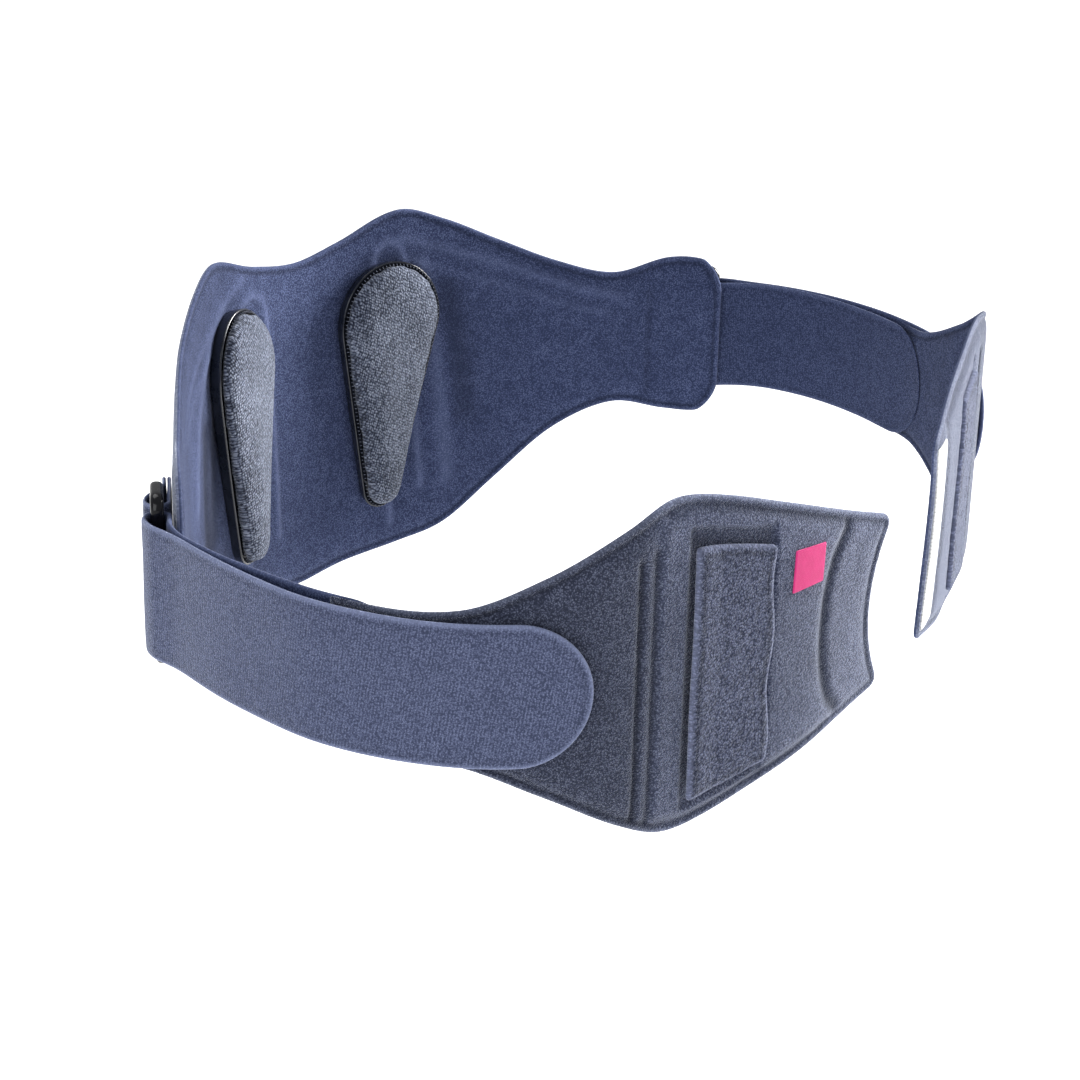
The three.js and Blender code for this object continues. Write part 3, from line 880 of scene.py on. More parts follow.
class Board:
    """A material's node tree, with short ways to add and join nodes."""

    WAVE_UNIT = 20

    def __init__(self, name: str) -> None:
        """Starts a material with only its output and its surface shader."""
        self.material = bpy.data.materials.new(name)
        self.material.use_nodes = True
        self.tree = self.material.node_tree
        self.surface = self.tree.nodes["Principled BSDF"]

    def add(self, kind: str, inputs: dict | None = None, **settings: object) -> bpy.types.Node:
        """Adds a node with its settings, and its inputs by name or number, as values or as sockets."""
        node = self.tree.nodes.new("ShaderNode" + kind)
        for key, value in settings.items():
            setattr(node, key, value)
        for key, value in (inputs or {}).items():
            self.feed(node.inputs[key], value)
        return node

    def feed(self, socket: bpy.types.NodeSocket, value: object) -> None:
        """Links a socket to another, or sets its value."""
        if isinstance(value, bpy.types.NodeSocket):
            self.tree.links.new(value, socket)
        else:
            socket.default_value = value

    def set(self, **values: object) -> None:
        """Sets inputs of the surface shader, with underscores for the spaces in their names."""
        for key, value in values.items():
            self.feed(self.surface.inputs[key.replace("_", " ")], value)

    def flat_place(self, stretch: Spot = (1.0, 1.0), turn: float = 0.0) -> bpy.types.NodeSocket:
        """The place on the flat cut, in metres, stretched and turned."""
        cut = self.add("UVMap", uv_map=CUT)
        scale = (stretch[0], stretch[1], 1.0)
        mapped = self.add(
            "Mapping", {"Vector": cut.outputs[0], "Scale": scale, "Rotation": (0.0, 0.0, turn)}
        )
        return mapped.outputs[0]

    def noise(self, place: bpy.types.NodeSocket, size: float, detail: float = 2.0) -> bpy.types.NodeSocket:
        """Noise with lumps of about `size` millimetres."""
        inputs = {"Vector": place, "Scale": 1 / (size * MM), "Detail": detail, "Roughness": 0.6}
        return self.add("TexNoise", inputs).outputs[0]

    def cells(
        self, place: bpy.types.NodeSocket, size: float, disorder: float = 1.0
    ) -> bpy.types.NodeSocket:
        """The distance to the middle of the nearest of many cells, each about `size` millimetres wide."""
        inputs = {"Vector": place, "Scale": 1 / (size * MM), "Randomness": disorder}
        return self.add("TexVoronoi", inputs).outputs["Distance"]

    def waves(
        self, place: bpy.types.NodeSocket, pitch: float, way: str, **inputs: float
    ) -> bpy.types.NodeSocket:
        """Bands that lie `pitch` millimetres apart."""
        given = {key.replace("_", " "): value for key, value in inputs.items()}
        given |= {"Vector": place, "Scale": math.tau / (self.WAVE_UNIT * pitch * MM)}
        return self.add("TexWave", given, bands_direction=way).outputs["Fac"]

    def math(self, kind: str, a: object, b: object = 0.0, c: object = 0.0) -> bpy.types.NodeSocket:
        """One sum."""
        return self.add("Math", {0: a, 1: b, 2: c}, operation=kind).outputs[0]

    def swung(self, part: object, share: float, base: object) -> bpy.types.NodeSocket:
        """A value that another one, which swings about a half, moves up and down by its share."""
        return self.math("MULTIPLY_ADD", self.math("SUBTRACT", part, 0.5), share, base)

    def ramp(
        self, value: bpy.types.NodeSocket, stops: Sequence[tuple[float, Colour]]
    ) -> bpy.types.NodeSocket:
        """A run of colours."""
        node = self.add("ValToRGB", {0: value})
        band = node.color_ramp
        while len(band.elements) < len(stops):
            band.elements.new(0.5)
        for element, (at, colour) in zip(band.elements, stops):
            element.position = at
            element.color = (*colour, 1.0)
        return node.outputs[0]

    def mixed(self, share: object, a: object, b: object) -> bpy.types.NodeSocket:
        """A mix of two colours."""
        node = self.add("MixRGB", {0: share})
        for socket, value in ((node.inputs[1], a), (node.inputs[2], b)):
            self.feed(socket, (*value, 1.0) if isinstance(value, tuple) else value)
        return node.outputs[0]

    def rubbed_and_shaded(
        self, colour: bpy.types.NodeSocket, light: Colour, dark: Colour, rub_and_highlight: float, painted_shade: float
    ) -> bpy.types.NodeSocket:
        """A colour with painted highlight on raised edges and lines (partly rubbed pile at the lip) and
        painted shade in seams, in the cloth's own tone.

        Args:
            colour: The plain colour.
            light: The colour of raised places: painted highlight, and partly rubbed pile at the lip.
            dark: The painted shade colour deep in seams.
            rub_and_highlight: How much the painted highlight on raised places shows.
            painted_shade: How much the painted shade in seams shows.

        Returns:
            The new colour.
        """
        wear_and_shading = self.add("Attribute", attribute_name=WEAR_AND_SHADING).outputs["Fac"]
        up = self.math("MULTIPLY", self.math("MAXIMUM", wear_and_shading, 0.0), rub_and_highlight)
        down = self.math("MULTIPLY", self.math("MAXIMUM", self.math("MULTIPLY", wear_and_shading, -1.0), 0.0), painted_shade)
        # Painted highlight on raised places, then painted shade in seams
        raised = self.mixed(self.math("MINIMUM", up, 1.0), colour, light)
        sunk = self.mixed(self.math("MINIMUM", down, 1.0), raised, dark)
        # The tone attribute also carries painted shade, in the flap's hollow and in the bands of the back
        # lining's folds
        tone = self.add("Attribute", attribute_name=TONE).outputs["Fac"]
        return self.add("VectorMath", {0: sunk, "Scale": tone}, operation="SCALE").outputs[0]

    def bump(self, height: bpy.types.NodeSocket, depth: float) -> None:
        """Bumps the surface by a height, over `depth` millimetres."""
        node = self.add("Bump", {"Height": height, "Distance": depth * MM, "Strength": 1.0})
        self.set(Normal=node.outputs[0])


@dataclass(frozen=True)
class PileFinish:
    """A brushed loop pile: tufts in three tones over soft clouds, with painted highlight on raised places
    (partly rubbed pile at the lip) and painted shade in seams.
    """

    name: str
    dark: Colour
    plain: Colour
    light: Colour
    tuft: float
    turn: float = 0.0
    sheen: float = 0.5
    depth: float = 0.5
    clouds: float = 0.12
    # How strongly raised places take painted highlight, and seams painted shade
    rub_and_highlight: float = 0.3
    painted_shade: float = 0.85
    spread: float = 0.1
    ribs: float = 0.0
    rib_pitch: float = 1.15
    curls: float = 0.38
    middle: float = 0.51
    cloud_size: float = 16.0
    patch_size: float = 55.0
    patches: float = 0.4

    def make(self) -> bpy.types.Material:
        """The material."""
        board = Board(self.name)
        place = board.flat_place(turn=self.turn)
        fine = board.math("MULTIPLY", board.noise(place, self.tuft, 3.0), 1 - self.curls)
        curls = board.math("SUBTRACT", 0.9, board.cells(place, self.tuft * 1.5))
        grain = board.math("MULTIPLY_ADD", curls, self.curls, fine)
        if self.ribs:
            rib = board.waves(place, self.rib_pitch, "X", Distortion=1.6, Detail=2.0, Detail_Scale=3.0)
            grain = board.swung(rib, self.ribs, grain)
        cloud = board.noise(place, self.tuft * self.cloud_size, 2.0)
        patch = board.noise(place, self.tuft * self.patch_size, 1.0)
        soft = board.swung(patch, self.patches, board.math("SUBTRACT", cloud, 0.5))
        tone = board.math("MULTIPLY_ADD", soft, self.clouds, grain)
        stops = (self.middle - self.spread, self.middle, self.middle + self.spread * 1.2)
        colour = board.ramp(tone, tuple(zip(stops, (self.dark, self.plain, self.light))))
        # The colours of painted highlight on raised places and of painted shade in seams
        rubbed, sunk = scaled(self.light, 1.7, 0.02), scaled(self.dark, 0.45)
        colour = board.rubbed_and_shaded(colour, rubbed, sunk, self.rub_and_highlight, self.painted_shade)
        board.set(Base_Color=colour, Roughness=0.92, Specular_IOR_Level=0.12)
        board.set(Sheen_Weight=self.sheen, Sheen_Roughness=0.3, Sheen_Tint=(0.8, 0.85, 1.0, 1.0))
        board.bump(grain, self.depth)
        return board.material


@dataclass(frozen=True)
class TerryFinish:
    """A knitted terry: rows of small loops with dark gaps between them."""

    name: str
    gap: Colour
    loop: Colour
    tip: Colour
    pitch: float
    turn: float = 0.35
    squeeze: float = 0.74
    lean: float = 1.6
    disorder: float = 0.42

    def make(self) -> bpy.types.Material:
        """The material."""
        board = Board(self.name)
        place = board.flat_place((1.0, self.squeeze), self.turn)
        stir = board.math("SUBTRACT", board.noise(place, 6.0, 1.0), 0.5)
        aside = board.math("MULTIPLY", stir, self.lean * MM)
        shift = board.add("CombineXYZ", {0: aside, 1: aside}).outputs[0]
        moved = board.add("VectorMath", {0: place, 1: shift}, operation="ADD").outputs[0]
        height = board.math("SUBTRACT", 0.95, board.cells(moved, self.pitch, self.disorder))
        tone = board.swung(board.noise(place, 0.5, 2.0), 0.5, height)
        tone = board.swung(board.noise(place, 14.0, 2.0), 0.3, tone)
        colour = board.ramp(tone, ((0.36, self.gap), (0.58, self.loop), (0.86, self.tip)))
        # Painted highlight on the cover's crown and painted shade at its edge, from the cover's marks
        colour = board.rubbed_and_shaded(colour, self.tip, self.gap, 0.5, 0.7)
        board.set(Base_Color=colour, Roughness=0.95, Specular_IOR_Level=0.1)
        board.set(Sheen_Weight=0.35, Sheen_Roughness=0.5, Sheen_Tint=(0.85, 0.9, 1.0, 1.0))
        board.bump(tone, 0.9)
        return board.material


@dataclass(frozen=True)
class HookTapeFinish:
    """A white tape with rows of fine moulded hooks."""

    name: str = "white_hook_tape"
    ground: Colour = (0.62, 0.62, 0.6)
    hook: Colour = (0.9, 0.9, 0.88)
    pitch: float = 1.1
    turn: float = 0.7
    disorder: float = 0.12

    def make(self) -> bpy.types.Material:
        """The material."""
        board = Board(self.name)
        place = board.flat_place(turn=self.turn)
        hooks = board.cells(place, self.pitch, self.disorder)
        fine = board.noise(place, 0.6, 2.0)
        tone = board.math("MULTIPLY_ADD", fine, 0.2, board.math("SUBTRACT", 0.85, hooks))
        colour = board.ramp(tone, ((0.35, self.ground), (0.62, self.hook)))
        # A lighter lip at the edge, partly painted sheen
        colour = board.rubbed_and_shaded(colour, self.hook, self.ground, 0.5, 0.3)
        board.set(Base_Color=colour, Roughness=0.62, Specular_IOR_Level=0.35)
        board.bump(tone, 0.5)
        return board.material


@dataclass(frozen=True)
class WovenFinish:
    """A tight plain weave."""

    name: str
    warp: Colour
    weft: Colour
    pitch: float = 0.42

    def make(self) -> bpy.types.Material:
        """The material."""
        board = Board(self.name)
        place = board.flat_place()
        threads = [board.waves(place, self.pitch, way, Distortion=0.6, Detail=1.0) for way in ("X", "Y")]
        weave = board.math("MULTIPLY", *threads)
        cloud = board.noise(place, 4.0, 2.0)
        tone = board.math("MULTIPLY_ADD", cloud, 0.4, weave)
        colour = board.ramp(tone, ((0.15, self.warp), (0.8, self.weft)))
        # The colours of painted highlight on the lip and of painted shade in sunk places
        edge_highlight, deep = scaled(self.weft, 1.25, 0.02), scaled(self.warp, 0.6)
        colour = board.rubbed_and_shaded(colour, edge_highlight, deep, 0.4, 0.4)
        board.set(Base_Color=colour, Roughness=0.72, Specular_IOR_Level=0.25)
        board.set(Sheen_Weight=0.25, Sheen_Roughness=0.4)
        board.bump(weave, 0.14)
        return board.material


@dataclass(frozen=True)
class MouldedFinish:
    """A moulded plastic with fine grain and rubbed edges."""

    name: str
    body: Colour
    rubbed: Colour
    roughness: float
    coat: float

    def make(self) -> bpy.types.Material:
        """The material."""
        board = Board(self.name)
        place = board.add("TexCoord").outputs["Object"]
        grain = board.noise(place, 0.7, 2.0)
        scuff = board.noise(place, 9.0, 3.0)
        patchy = board.ramp(scuff, ((0.4, self.body), (0.8, self.rubbed)))
        board.set(Base_Color=patchy, Specular_IOR_Level=0.18, Coat_Weight=self.coat, Coat_Roughness=0.08)
        board.set(Roughness=board.math("MULTIPLY_ADD", scuff, 0.2, self.roughness))
        board.bump(grain, 0.03)
        return board.material


@dataclass(frozen=True)
class ThreadFinish:
    """Twisted sewing thread."""

    name: str
    dark: Colour
    light: Colour
    pitch: float = 0.5

    def make(self) -> bpy.types.Material:
        """The material."""
        board = Board(self.name)
        twist = board.waves(board.add("TexCoord").outputs["Object"], self.pitch, "DIAGONAL")
        board.set(Base_Color=board.ramp(twist, ((0.2, self.dark), (0.8, self.light))), Roughness=0.7)
        board.set(Specular_IOR_Level=0.3, Sheen_Weight=0.2, Sheen_Roughness=0.4)
        board.bump(twist, 0.1)
        return board.material


class Wardrobe:
    """Every finish of the belt, made once."""

    def __init__(self) -> None:
        """Makes the materials."""
        outer = ((0.034, 0.041, 0.073), (0.09, 0.104, 0.17), (0.215, 0.244, 0.35))
        lining = ((0.02, 0.028, 0.066), (0.044, 0.058, 0.124), (0.09, 0.112, 0.21))
        elastic = ((0.042, 0.051, 0.096), (0.089, 0.106, 0.188), (0.18, 0.21, 0.335))
        flap = ((0.027, 0.032, 0.058), (0.087, 0.101, 0.168), (0.215, 0.24, 0.36))
        terry = ((0.011, 0.015, 0.029), (0.11, 0.129, 0.185), (0.32, 0.355, 0.445))
        magenta = ((0.55, 0.015, 0.14), (0.86, 0.05, 0.28))
        black = ((0.003, 0.003, 0.005), (0.008, 0.008, 0.012))
        dark_shell = ((0.008, 0.01, 0.016), (0.02, 0.023, 0.034))
        grey = ((0.07, 0.08, 0.11), (0.19, 0.21, 0.27))
        self.velour = PileFinish(
            "blue_grey_velour", *outer, tuft=0.44, sheen=0.9, depth=0.8, spread=0.105
        ).make()
        self.lining = PileFinish(
            "navy_lining_pile", *lining, tuft=0.46, sheen=0.12, depth=0.5, rub_and_highlight=0.25, clouds=0.17
        ).make()
        self.elastic = PileFinish(
            "loop_pile_elastic",
            *elastic,
            tuft=0.42,
            turn=0.15,
            sheen=0.7,
            clouds=0.08,
            depth=0.5,
            rub_and_highlight=0.55,
            spread=0.14,
            ribs=0.09,
        ).make()
        self.elastic_lining = PileFinish(
            "navy_elastic_lining",
            *lining,
            tuft=0.42,
            sheen=0.22,
            clouds=0.08,
            depth=0.35,
            rub_and_highlight=0.3,
            ribs=0.05,
        ).make()
        self.flap = PileFinish("curly_loop_pile", *flap, tuft=0.58, sheen=0.6, depth=1.1, spread=0.12).make()
        self.terry = TerryFinish("grey_blue_terry", *terry, pitch=0.98).make()
        self.hook = HookTapeFinish().make()
        self.label = WovenFinish("plain_magenta_weave", *magenta).make()
        self.ring = MouldedFinish("black_moulded_ring", *black, roughness=0.12, coat=0.18).make()
        self.shell = MouldedFinish("dark_moulded_shell", *dark_shell, roughness=0.18, coat=0.5).make()
        self.thread = ThreadFinish("grey_thread", *grey).make()


def dress(piece: bpy.types.Object, slot: str, nodes: Sequence[str], *finishes: bpy.types.Material) -> None:
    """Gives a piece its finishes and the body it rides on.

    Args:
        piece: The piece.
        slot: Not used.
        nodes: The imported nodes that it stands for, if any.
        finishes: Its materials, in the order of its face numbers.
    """
    for finish in finishes:
        piece.data.materials.append(finish)
    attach(piece, "root")
    if nodes:
        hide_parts(*nodes)
    triangles = sum(len(polygon.vertices) - 2 for polygon in piece.data.polygons)
    LOG.info("%s: %d triangles", piece.name, triangles)


# Stitches


@dataclass(frozen=True)
class Stitches:
    """A row of raised thread stitches, as one mesh."""

    name: str
    length: float = 2.1
    width: float = 0.34
    height: float = 0.26

    AROUND = 6
    RINGS = 5
    TIP = 0.18
    HALF_SPAN = 0.6

    def build(self, centres: np.ndarray, along: np.ndarray, out: np.ndarray) -> bpy.types.Object:
        """Makes the row.

        Args:
            centres: The middle of each stitch, in metres.
            along: The direction of each.
            out: The direction out of the cloth at each.

        Returns:
            The object.
        """
        angle = np.linspace(0, 2 * math.pi, self.AROUND, endpoint=False)
        grid = []
        for t in np.linspace(-1, 1, self.RINGS):
            swell = max(self.TIP, math.sqrt(max(0.0, 1 - t**4)))
            grid.append(np.stack([np.full(self.AROUND, t), np.cos(angle) * swell, np.sin(angle) * swell], 1))
        shape = np.vstack(grid) * np.array([self.length / 2, self.width / 2, self.height]) * MM
        last = (self.RINGS - 1) * self.AROUND
        caps = [tuple(range(self.AROUND))[::-1], tuple(range(last, last + self.AROUND))]
        quads = tube_faces(self.RINGS, self.AROUND)
        along = along / np.linalg.norm(along, axis=1, keepdims=True)
        out = out - (out * along).sum(1, keepdims=True) * along
        out = out / np.linalg.norm(out, axis=1, keepdims=True)
        across = np.cross(out, along)
        points, faces = [], []
        for i, centre in enumerate(centres):
            base = i * len(shape)
            points.append(centre + shape @ np.stack([along[i], across[i], out[i]]))
            faces += [tuple(base + k for k in face) for face in (*quads, *caps)]
        return new_object(self.name, np.vstack(points), faces)

    def along_line(
        self, stand: Stand, line: np.ndarray, out: float, facing: int, pitch: float
    ) -> bpy.types.Object:
        """Makes a row along a flat line on a standing face.

        Args:
            stand: Where the flat layout stands.
            line: The flat line.
            out: How far outward the face lies.
            facing: 1 for the outer face, -1 for the inner one.
            pitch: From stitch to stitch.

        Returns:
            The object.
        """
        run = run_of(line)
        count = max(2, int(run[-1] / pitch))
        middle = (np.arange(count) + 0.5) * run[-1] / count
        spans = (middle - self.HALF_SPAN, middle + self.HALF_SPAN)
        ends = [read_along(line, run, at) for at in spans]
        first, last = (stand.place(e[:, 0], e[:, 1], np.full(count, out)) for e in ends)
        lifted = stand.place(ends[0][:, 0], ends[0][:, 1], np.full(count, out + facing))
        return self.build((first + last) / 2, last - first, lifted - first)


# The back panel


@dataclass
class BackPanel:
    """The curved back panel with its stay channels, side stiffeners and guards."""

    channels: tuple[tuple[Spot, ...], ...] = (
        ((213, -78), (208, -20), (204, 30), (208, 42), (218, 47), (228, 42), (231, 30)),
        ((231, 30), (235, -20), (239, -84)),
        ((309, -84), (304, -12), (300, 44), (302, 51), (309, 55), (315, 51), (317, 42)),
        ((317, 42), (321, -12), (327, -80)),
    )
    stiffener: tuple[Spot, ...] = ((316, 56), (343, 47), (376, 36), (406, 26), (430, 20))
    stiffener_step: Spot = (-6, -8)
    guard_right: float = 440.5
    guard_left: float = 35.5
    spine: float = 264.0
    corner: float = 11.0
    step: float = 1.75
    calm: Spot = (45.0, 90.0)
    outline: FlatOutline = field(init=False)

    # Rise and width of each kind of line, on the inner face and then on the outer one
    CHANNEL_FORMS = ((1.0, 1.8), (-0.5, 1.3))
    STIFFENER_FORMS = ((0.6, 2.2), (-0.45, 1.2))
    INNER_STIFFENER_FORM = (0.35, 2.0)
    GUARD_FORM = (-0.55, 1.2)
    SPINE_FORM = (-0.5, 1.2)

    # Soft folds of the lining: the line of each, its rise and its width
    FOLDS = (
        (((187, 48), (171, 36), (155, 19), (146, 0), (141, -30)), 0.8, 5.0),
        (((191, 34), (183, 10), (177, -11), (174, -60)), -0.9, 6.0),
        (((190, 0), (192, -30), (197, -60), (203, -84)), 0.9, 6.0),
        (((165, 0), (163, -30), (165, -62)), -0.9, 6.0),
        (((326, 43), (331, 15), (335, -11), (338, -40), (340, -70)), 0.7, 4.0),
        (((341, 30), (346, 0), (350, -40)), -0.6, 7.0),
    )

    def __post_init__(self) -> None:
        """Lays the panel out flat."""
        course = BACK[Hand.RIGHT]
        share = SPINE_SHARE[Hand.RIGHT]
        top, bottom = smooth_rows(BACK_OUTLINE, 1), smooth_rows(BACK_OUTLINE, 2)

        def spread(s: np.ndarray) -> np.ndarray:
            """The share of a half length from the spine."""
            at = np.asarray(s) / course.length
            return np.where(at < share, 1 - at / share, (at - share) / (1 - share))

        self.outline = FlatOutline.between(
            lambda s: SIZES.back_height * bottom(spread(s)),
            lambda s: SIZES.back_height * top(spread(s)),
            0.0,
            course.length,
            corners=(self.corner, self.corner),
        )

    def _mirrored(self, points: Sequence[Spot]) -> tuple[Spot, ...]:
        """Points on the other half of the panel."""
        return tuple((2 * self.spine - s, z) for s, z in points)

    def _lines(self) -> tuple[SewnLine, ...]:
        """The panel's sewn lines, and the soft folds of its lining."""
        sides = (self.stiffener, self._mirrored(self.stiffener))
        second = tuple((s + self.stiffener_step[0], z + self.stiffener_step[1]) for s, z in self.stiffener)
        found = []
        for drawn, forms in ((self.channels, self.CHANNEL_FORMS), (sides, self.STIFFENER_FORMS)):
            for points in drawn:
                found += [SewnLine(points, *forms[0]), SewnLine(points, *forms[1], OUTSIDE)]
        inner = (second, self._mirrored(second))
        found += [SewnLine(points, *self.INNER_STIFFENER_FORM) for points in inner]
        found += [SewnLine(*fold) for fold in self.FOLDS]
        for s in (self.guard_left, self.guard_right):
            found.append(SewnLine(((s, -29), (s, 0), (s, 29)), *self.GUARD_FORM, BOTH))
        spine = ((self.spine, -96), (self.spine, -20), (self.spine, 46))
        found.append(SewnLine(spine, *self.SPINE_FORM, OUTSIDE))
        return tuple(found)

    def _fields(self) -> tuple[Field, ...]:
        """The slightly thicker guards at the panel's two ends."""
        end = BACK[Hand.RIGHT].length
        right = ((self.guard_right, -60), (end + 9, -60), (end + 9, 60), (self.guard_right, 60))
        left = ((-9, -60), (self.guard_left, -60), (self.guard_left, 60), (-9, 60))
        return tuple(Field(corners, 0.18, 1.6, BOTH) for corners in (right, left))

    def _bend(self, s: np.ndarray, z: np.ndarray) -> np.ndarray:
        """Soft waves of the whole cloth, away from its ends and from what lies on it."""
        end = BACK[Hand.RIGHT].length
        near, far = self.calm
        free = smoothstep(s, near, far) * (1 - smoothstep(s, end - far, end - near))
        slow = np.sin(s / 31.0) * 0.5 + np.sin(s / 17.0 + z / 60.0) * 0.25
        hem = smoothstep(-z, 30, 90)
        return free * slow * (0.25 + 0.75 * hem)

    def _tones(self, s: np.ndarray, z: np.ndarray) -> np.ndarray:
        """Light and dark bands low on the left half, painted as the light and shade of the lining's folds,
        over a tone that grows lighter from the left end towards the right.
        """
        window = smoothstep(s, 95, 125) * (1 - smoothstep(s, 215, 250)) * (1 - smoothstep(z, -10, 60))
        half = 0.84 + 0.24 * smoothstep(s, 170, 240) + 0.04 * smoothstep(s, 300, 430)
        return half + 0.13 * np.cos((s - 135) * math.tau / 60) * window

    def make(self, wardrobe: Wardrobe) -> None:
        """Builds and dresses the panel."""
        piece = Sheet(
            "back_panel_cloth",
            Stand(BACK[Hand.RIGHT]),
            self.outline,
            PANEL_RIM,
            self.step,
            lines=self._lines(),
            fields=self._fields(),
            bend=self._bend,
            tones=self._tones,
            toned_face=Face.INNER,
        ).build()
        dress(piece, "velour", ["back_panel"], wardrobe.velour, wardrobe.lining)
        cut_size(self.outline)
        cut_area(self.outline)


# Rings and their tabs


@dataclass
class RingSet:
    """One side's moulded ring and the folded fabric tab that holds it."""

    hand: Hand
    round_path: float = 4.0
    squareness: float = 2.6
    stitch_insets: Spot = (3.5, 7.5)
    stitch_pitch: float = 2.7

    CORNER_SPOTS = 9
    AROUND = 20

    def _ring_points(self) -> tuple[np.ndarray, list]:
        """The ring's points about its middle, in its own plane, and its faces."""
        half_long = SIZES.bar_gap / 2 - self.round_path
        half_high = (SIZES.ring_window + SIZES.ring_bar) / 2 - self.round_path
        path, outward = [], []
        for turn, (cx, cy) in enumerate(((1, 1), (-1, 1), (-1, -1), (1, -1))):
            for angle in np.linspace(turn * math.pi / 2, (turn + 1) * math.pi / 2, self.CORNER_SPOTS):
                way = np.array([math.cos(angle), math.sin(angle)])
                path.append(np.array([cx * half_long, cy * half_high]) + way * self.round_path)
                outward.append(way)
        angle = np.linspace(0, 2 * math.pi, self.AROUND, endpoint=False)
        round_off = 2 / self.squareness
        wide = np.sign(np.cos(angle)) * np.abs(np.cos(angle)) ** round_off * SIZES.ring_bar / 2
        deep = np.sign(np.sin(angle)) * np.abs(np.sin(angle)) ** round_off * SIZES.ring_bar / 2
        points = [np.column_stack([place + np.outer(wide, way), deep]) for place, way in zip(path, outward)]
        return np.vstack(points), tube_faces(len(path), self.AROUND, closed=True)

    def ring(self, wardrobe: Wardrobe) -> None:
        """Builds and dresses the ring, with its two upright bars in the belt's run."""
        back = Stand(BACK[self.hand], self.hand.side)
        forward, outward = back.directions(BACK[self.hand].length - SIZES.ring_inset)
        bar = front_bar(self.hand)
        middle = Vector((self.hand.side * bar[0], bar[1], 0)) - forward * (SIZES.bar_gap / 2)
        local, faces = self._ring_points()
        points = local @ np.array([forward, (0, 0, 1), outward]) + np.array(middle)
        piece = new_object(f"ring_{self.hand.value}_moulded", points * MM, faces)
        turn_outward(piece)
        smooth = piece.modifiers.new("round", "SUBSURF")
        smooth.levels = smooth.render_levels = 1
        dress(piece, "ring", [f"ring_{self.hand.value}"], wardrobe.ring)

    def _tab_course(self) -> Course:
        """The tab's line: off the panel, round the ring's rear bar and back onto the panel."""
        back = BACK[self.hand]
        _, tangent, _ = back.at(np.array(back.length - SIZES.ring_inset))
        bar = front_bar(self.hand) - tangent * SIZES.bar_gap
        fold = back.length - SIZES.ring_inset - SIZES.bar_gap
        t = np.linspace(0, 1, 7)
        on_panel = SIZES.back_wall / 2 + SIZES.clearance + SIZES.tab_wall / 2
        on_layer = on_panel + SIZES.tab_wall + SIZES.clearance
        near, far = fold - SIZES.tab_reach / 2, fold - SIZES.tab_length
        low, high = SIZES.ring_outward - SIZES.tab_reach, SIZES.ring_outward + SIZES.tab_reach
        first = back.beside(far + (near - far) * t, low + (on_panel - low) * smoothstep(1 - t, 0, 0.7))
        last = back.beside(near + (far - near) * t, high + (on_layer - high) * smoothstep(t, 0, 0.7))
        return folded_course(first, bar, tangent, SIZES.tab_reach, last)

    def tab(self, wardrobe: Wardrobe) -> None:
        """Builds and dresses the folded tab and the thread that holds it."""
        course = self._tab_course()
        facing = self._facing(course)
        half = SIZES.tab_height / 2
        outline = FlatOutline.strip(half, 0.0, course.length, (2.0, 2.0))
        stand = Stand(course, self.hand.side)
        piece = Sheet(f"ring_tab_{self.hand.value}_cloth", stand, outline, TAB_RIM, 1.3).build()
        shown = (wardrobe.elastic, wardrobe.lining)
        dress(piece, "velour", [f"ring_tab_{self.hand.value}"], *shown[::facing])
        cut_size(outline)
        cut_area(outline)
        out = facing * (SIZES.tab_wall / 2 + 0.05)
        for number, inset in enumerate(self.stitch_insets, start=1):
            s = course.length - inset
            line = np.array([(s, -half + 3), (s, half - 3)])
            stitches = Stitches(f"ring_tab_{self.hand.value}_stitches_{number}")
            row = stitches.along_line(stand, line, out, facing, self.stitch_pitch)
            dress(row, "velour", [], wardrobe.thread)

    def _facing(self, course: Course) -> int:
        """1 if the outward side of the strip at its end is the side away from the panel, or else -1."""
        _, _, normal = course.at(np.array(course.length - 3.0))
        _, _, away = BACK[self.hand].at(np.array(BACK[self.hand].length - SIZES.tab_length))
        return 1 if float(normal @ away) > 0 else -1


# The front of one side


@dataclass(frozen=True)
class ClosureRelief:
    """How strongly a closure's outer face shows its hollow with its painted shade, its curved seam and its
    flap.
    """

    hollow: float
    hollow_shade: float
    seam: float
    grip: float
    flap_sink: float


CLOSURE_RELIEF = {
    Hand.LEFT: ClosureRelief(hollow=1.7, hollow_shade=0.62, seam=-1.5, grip=1.4, flap_sink=3.5),
    Hand.RIGHT: ClosureRelief(hollow=0.8, hollow_shade=0.92, seam=-0.6, grip=0.1, flap_sink=4.0),
}


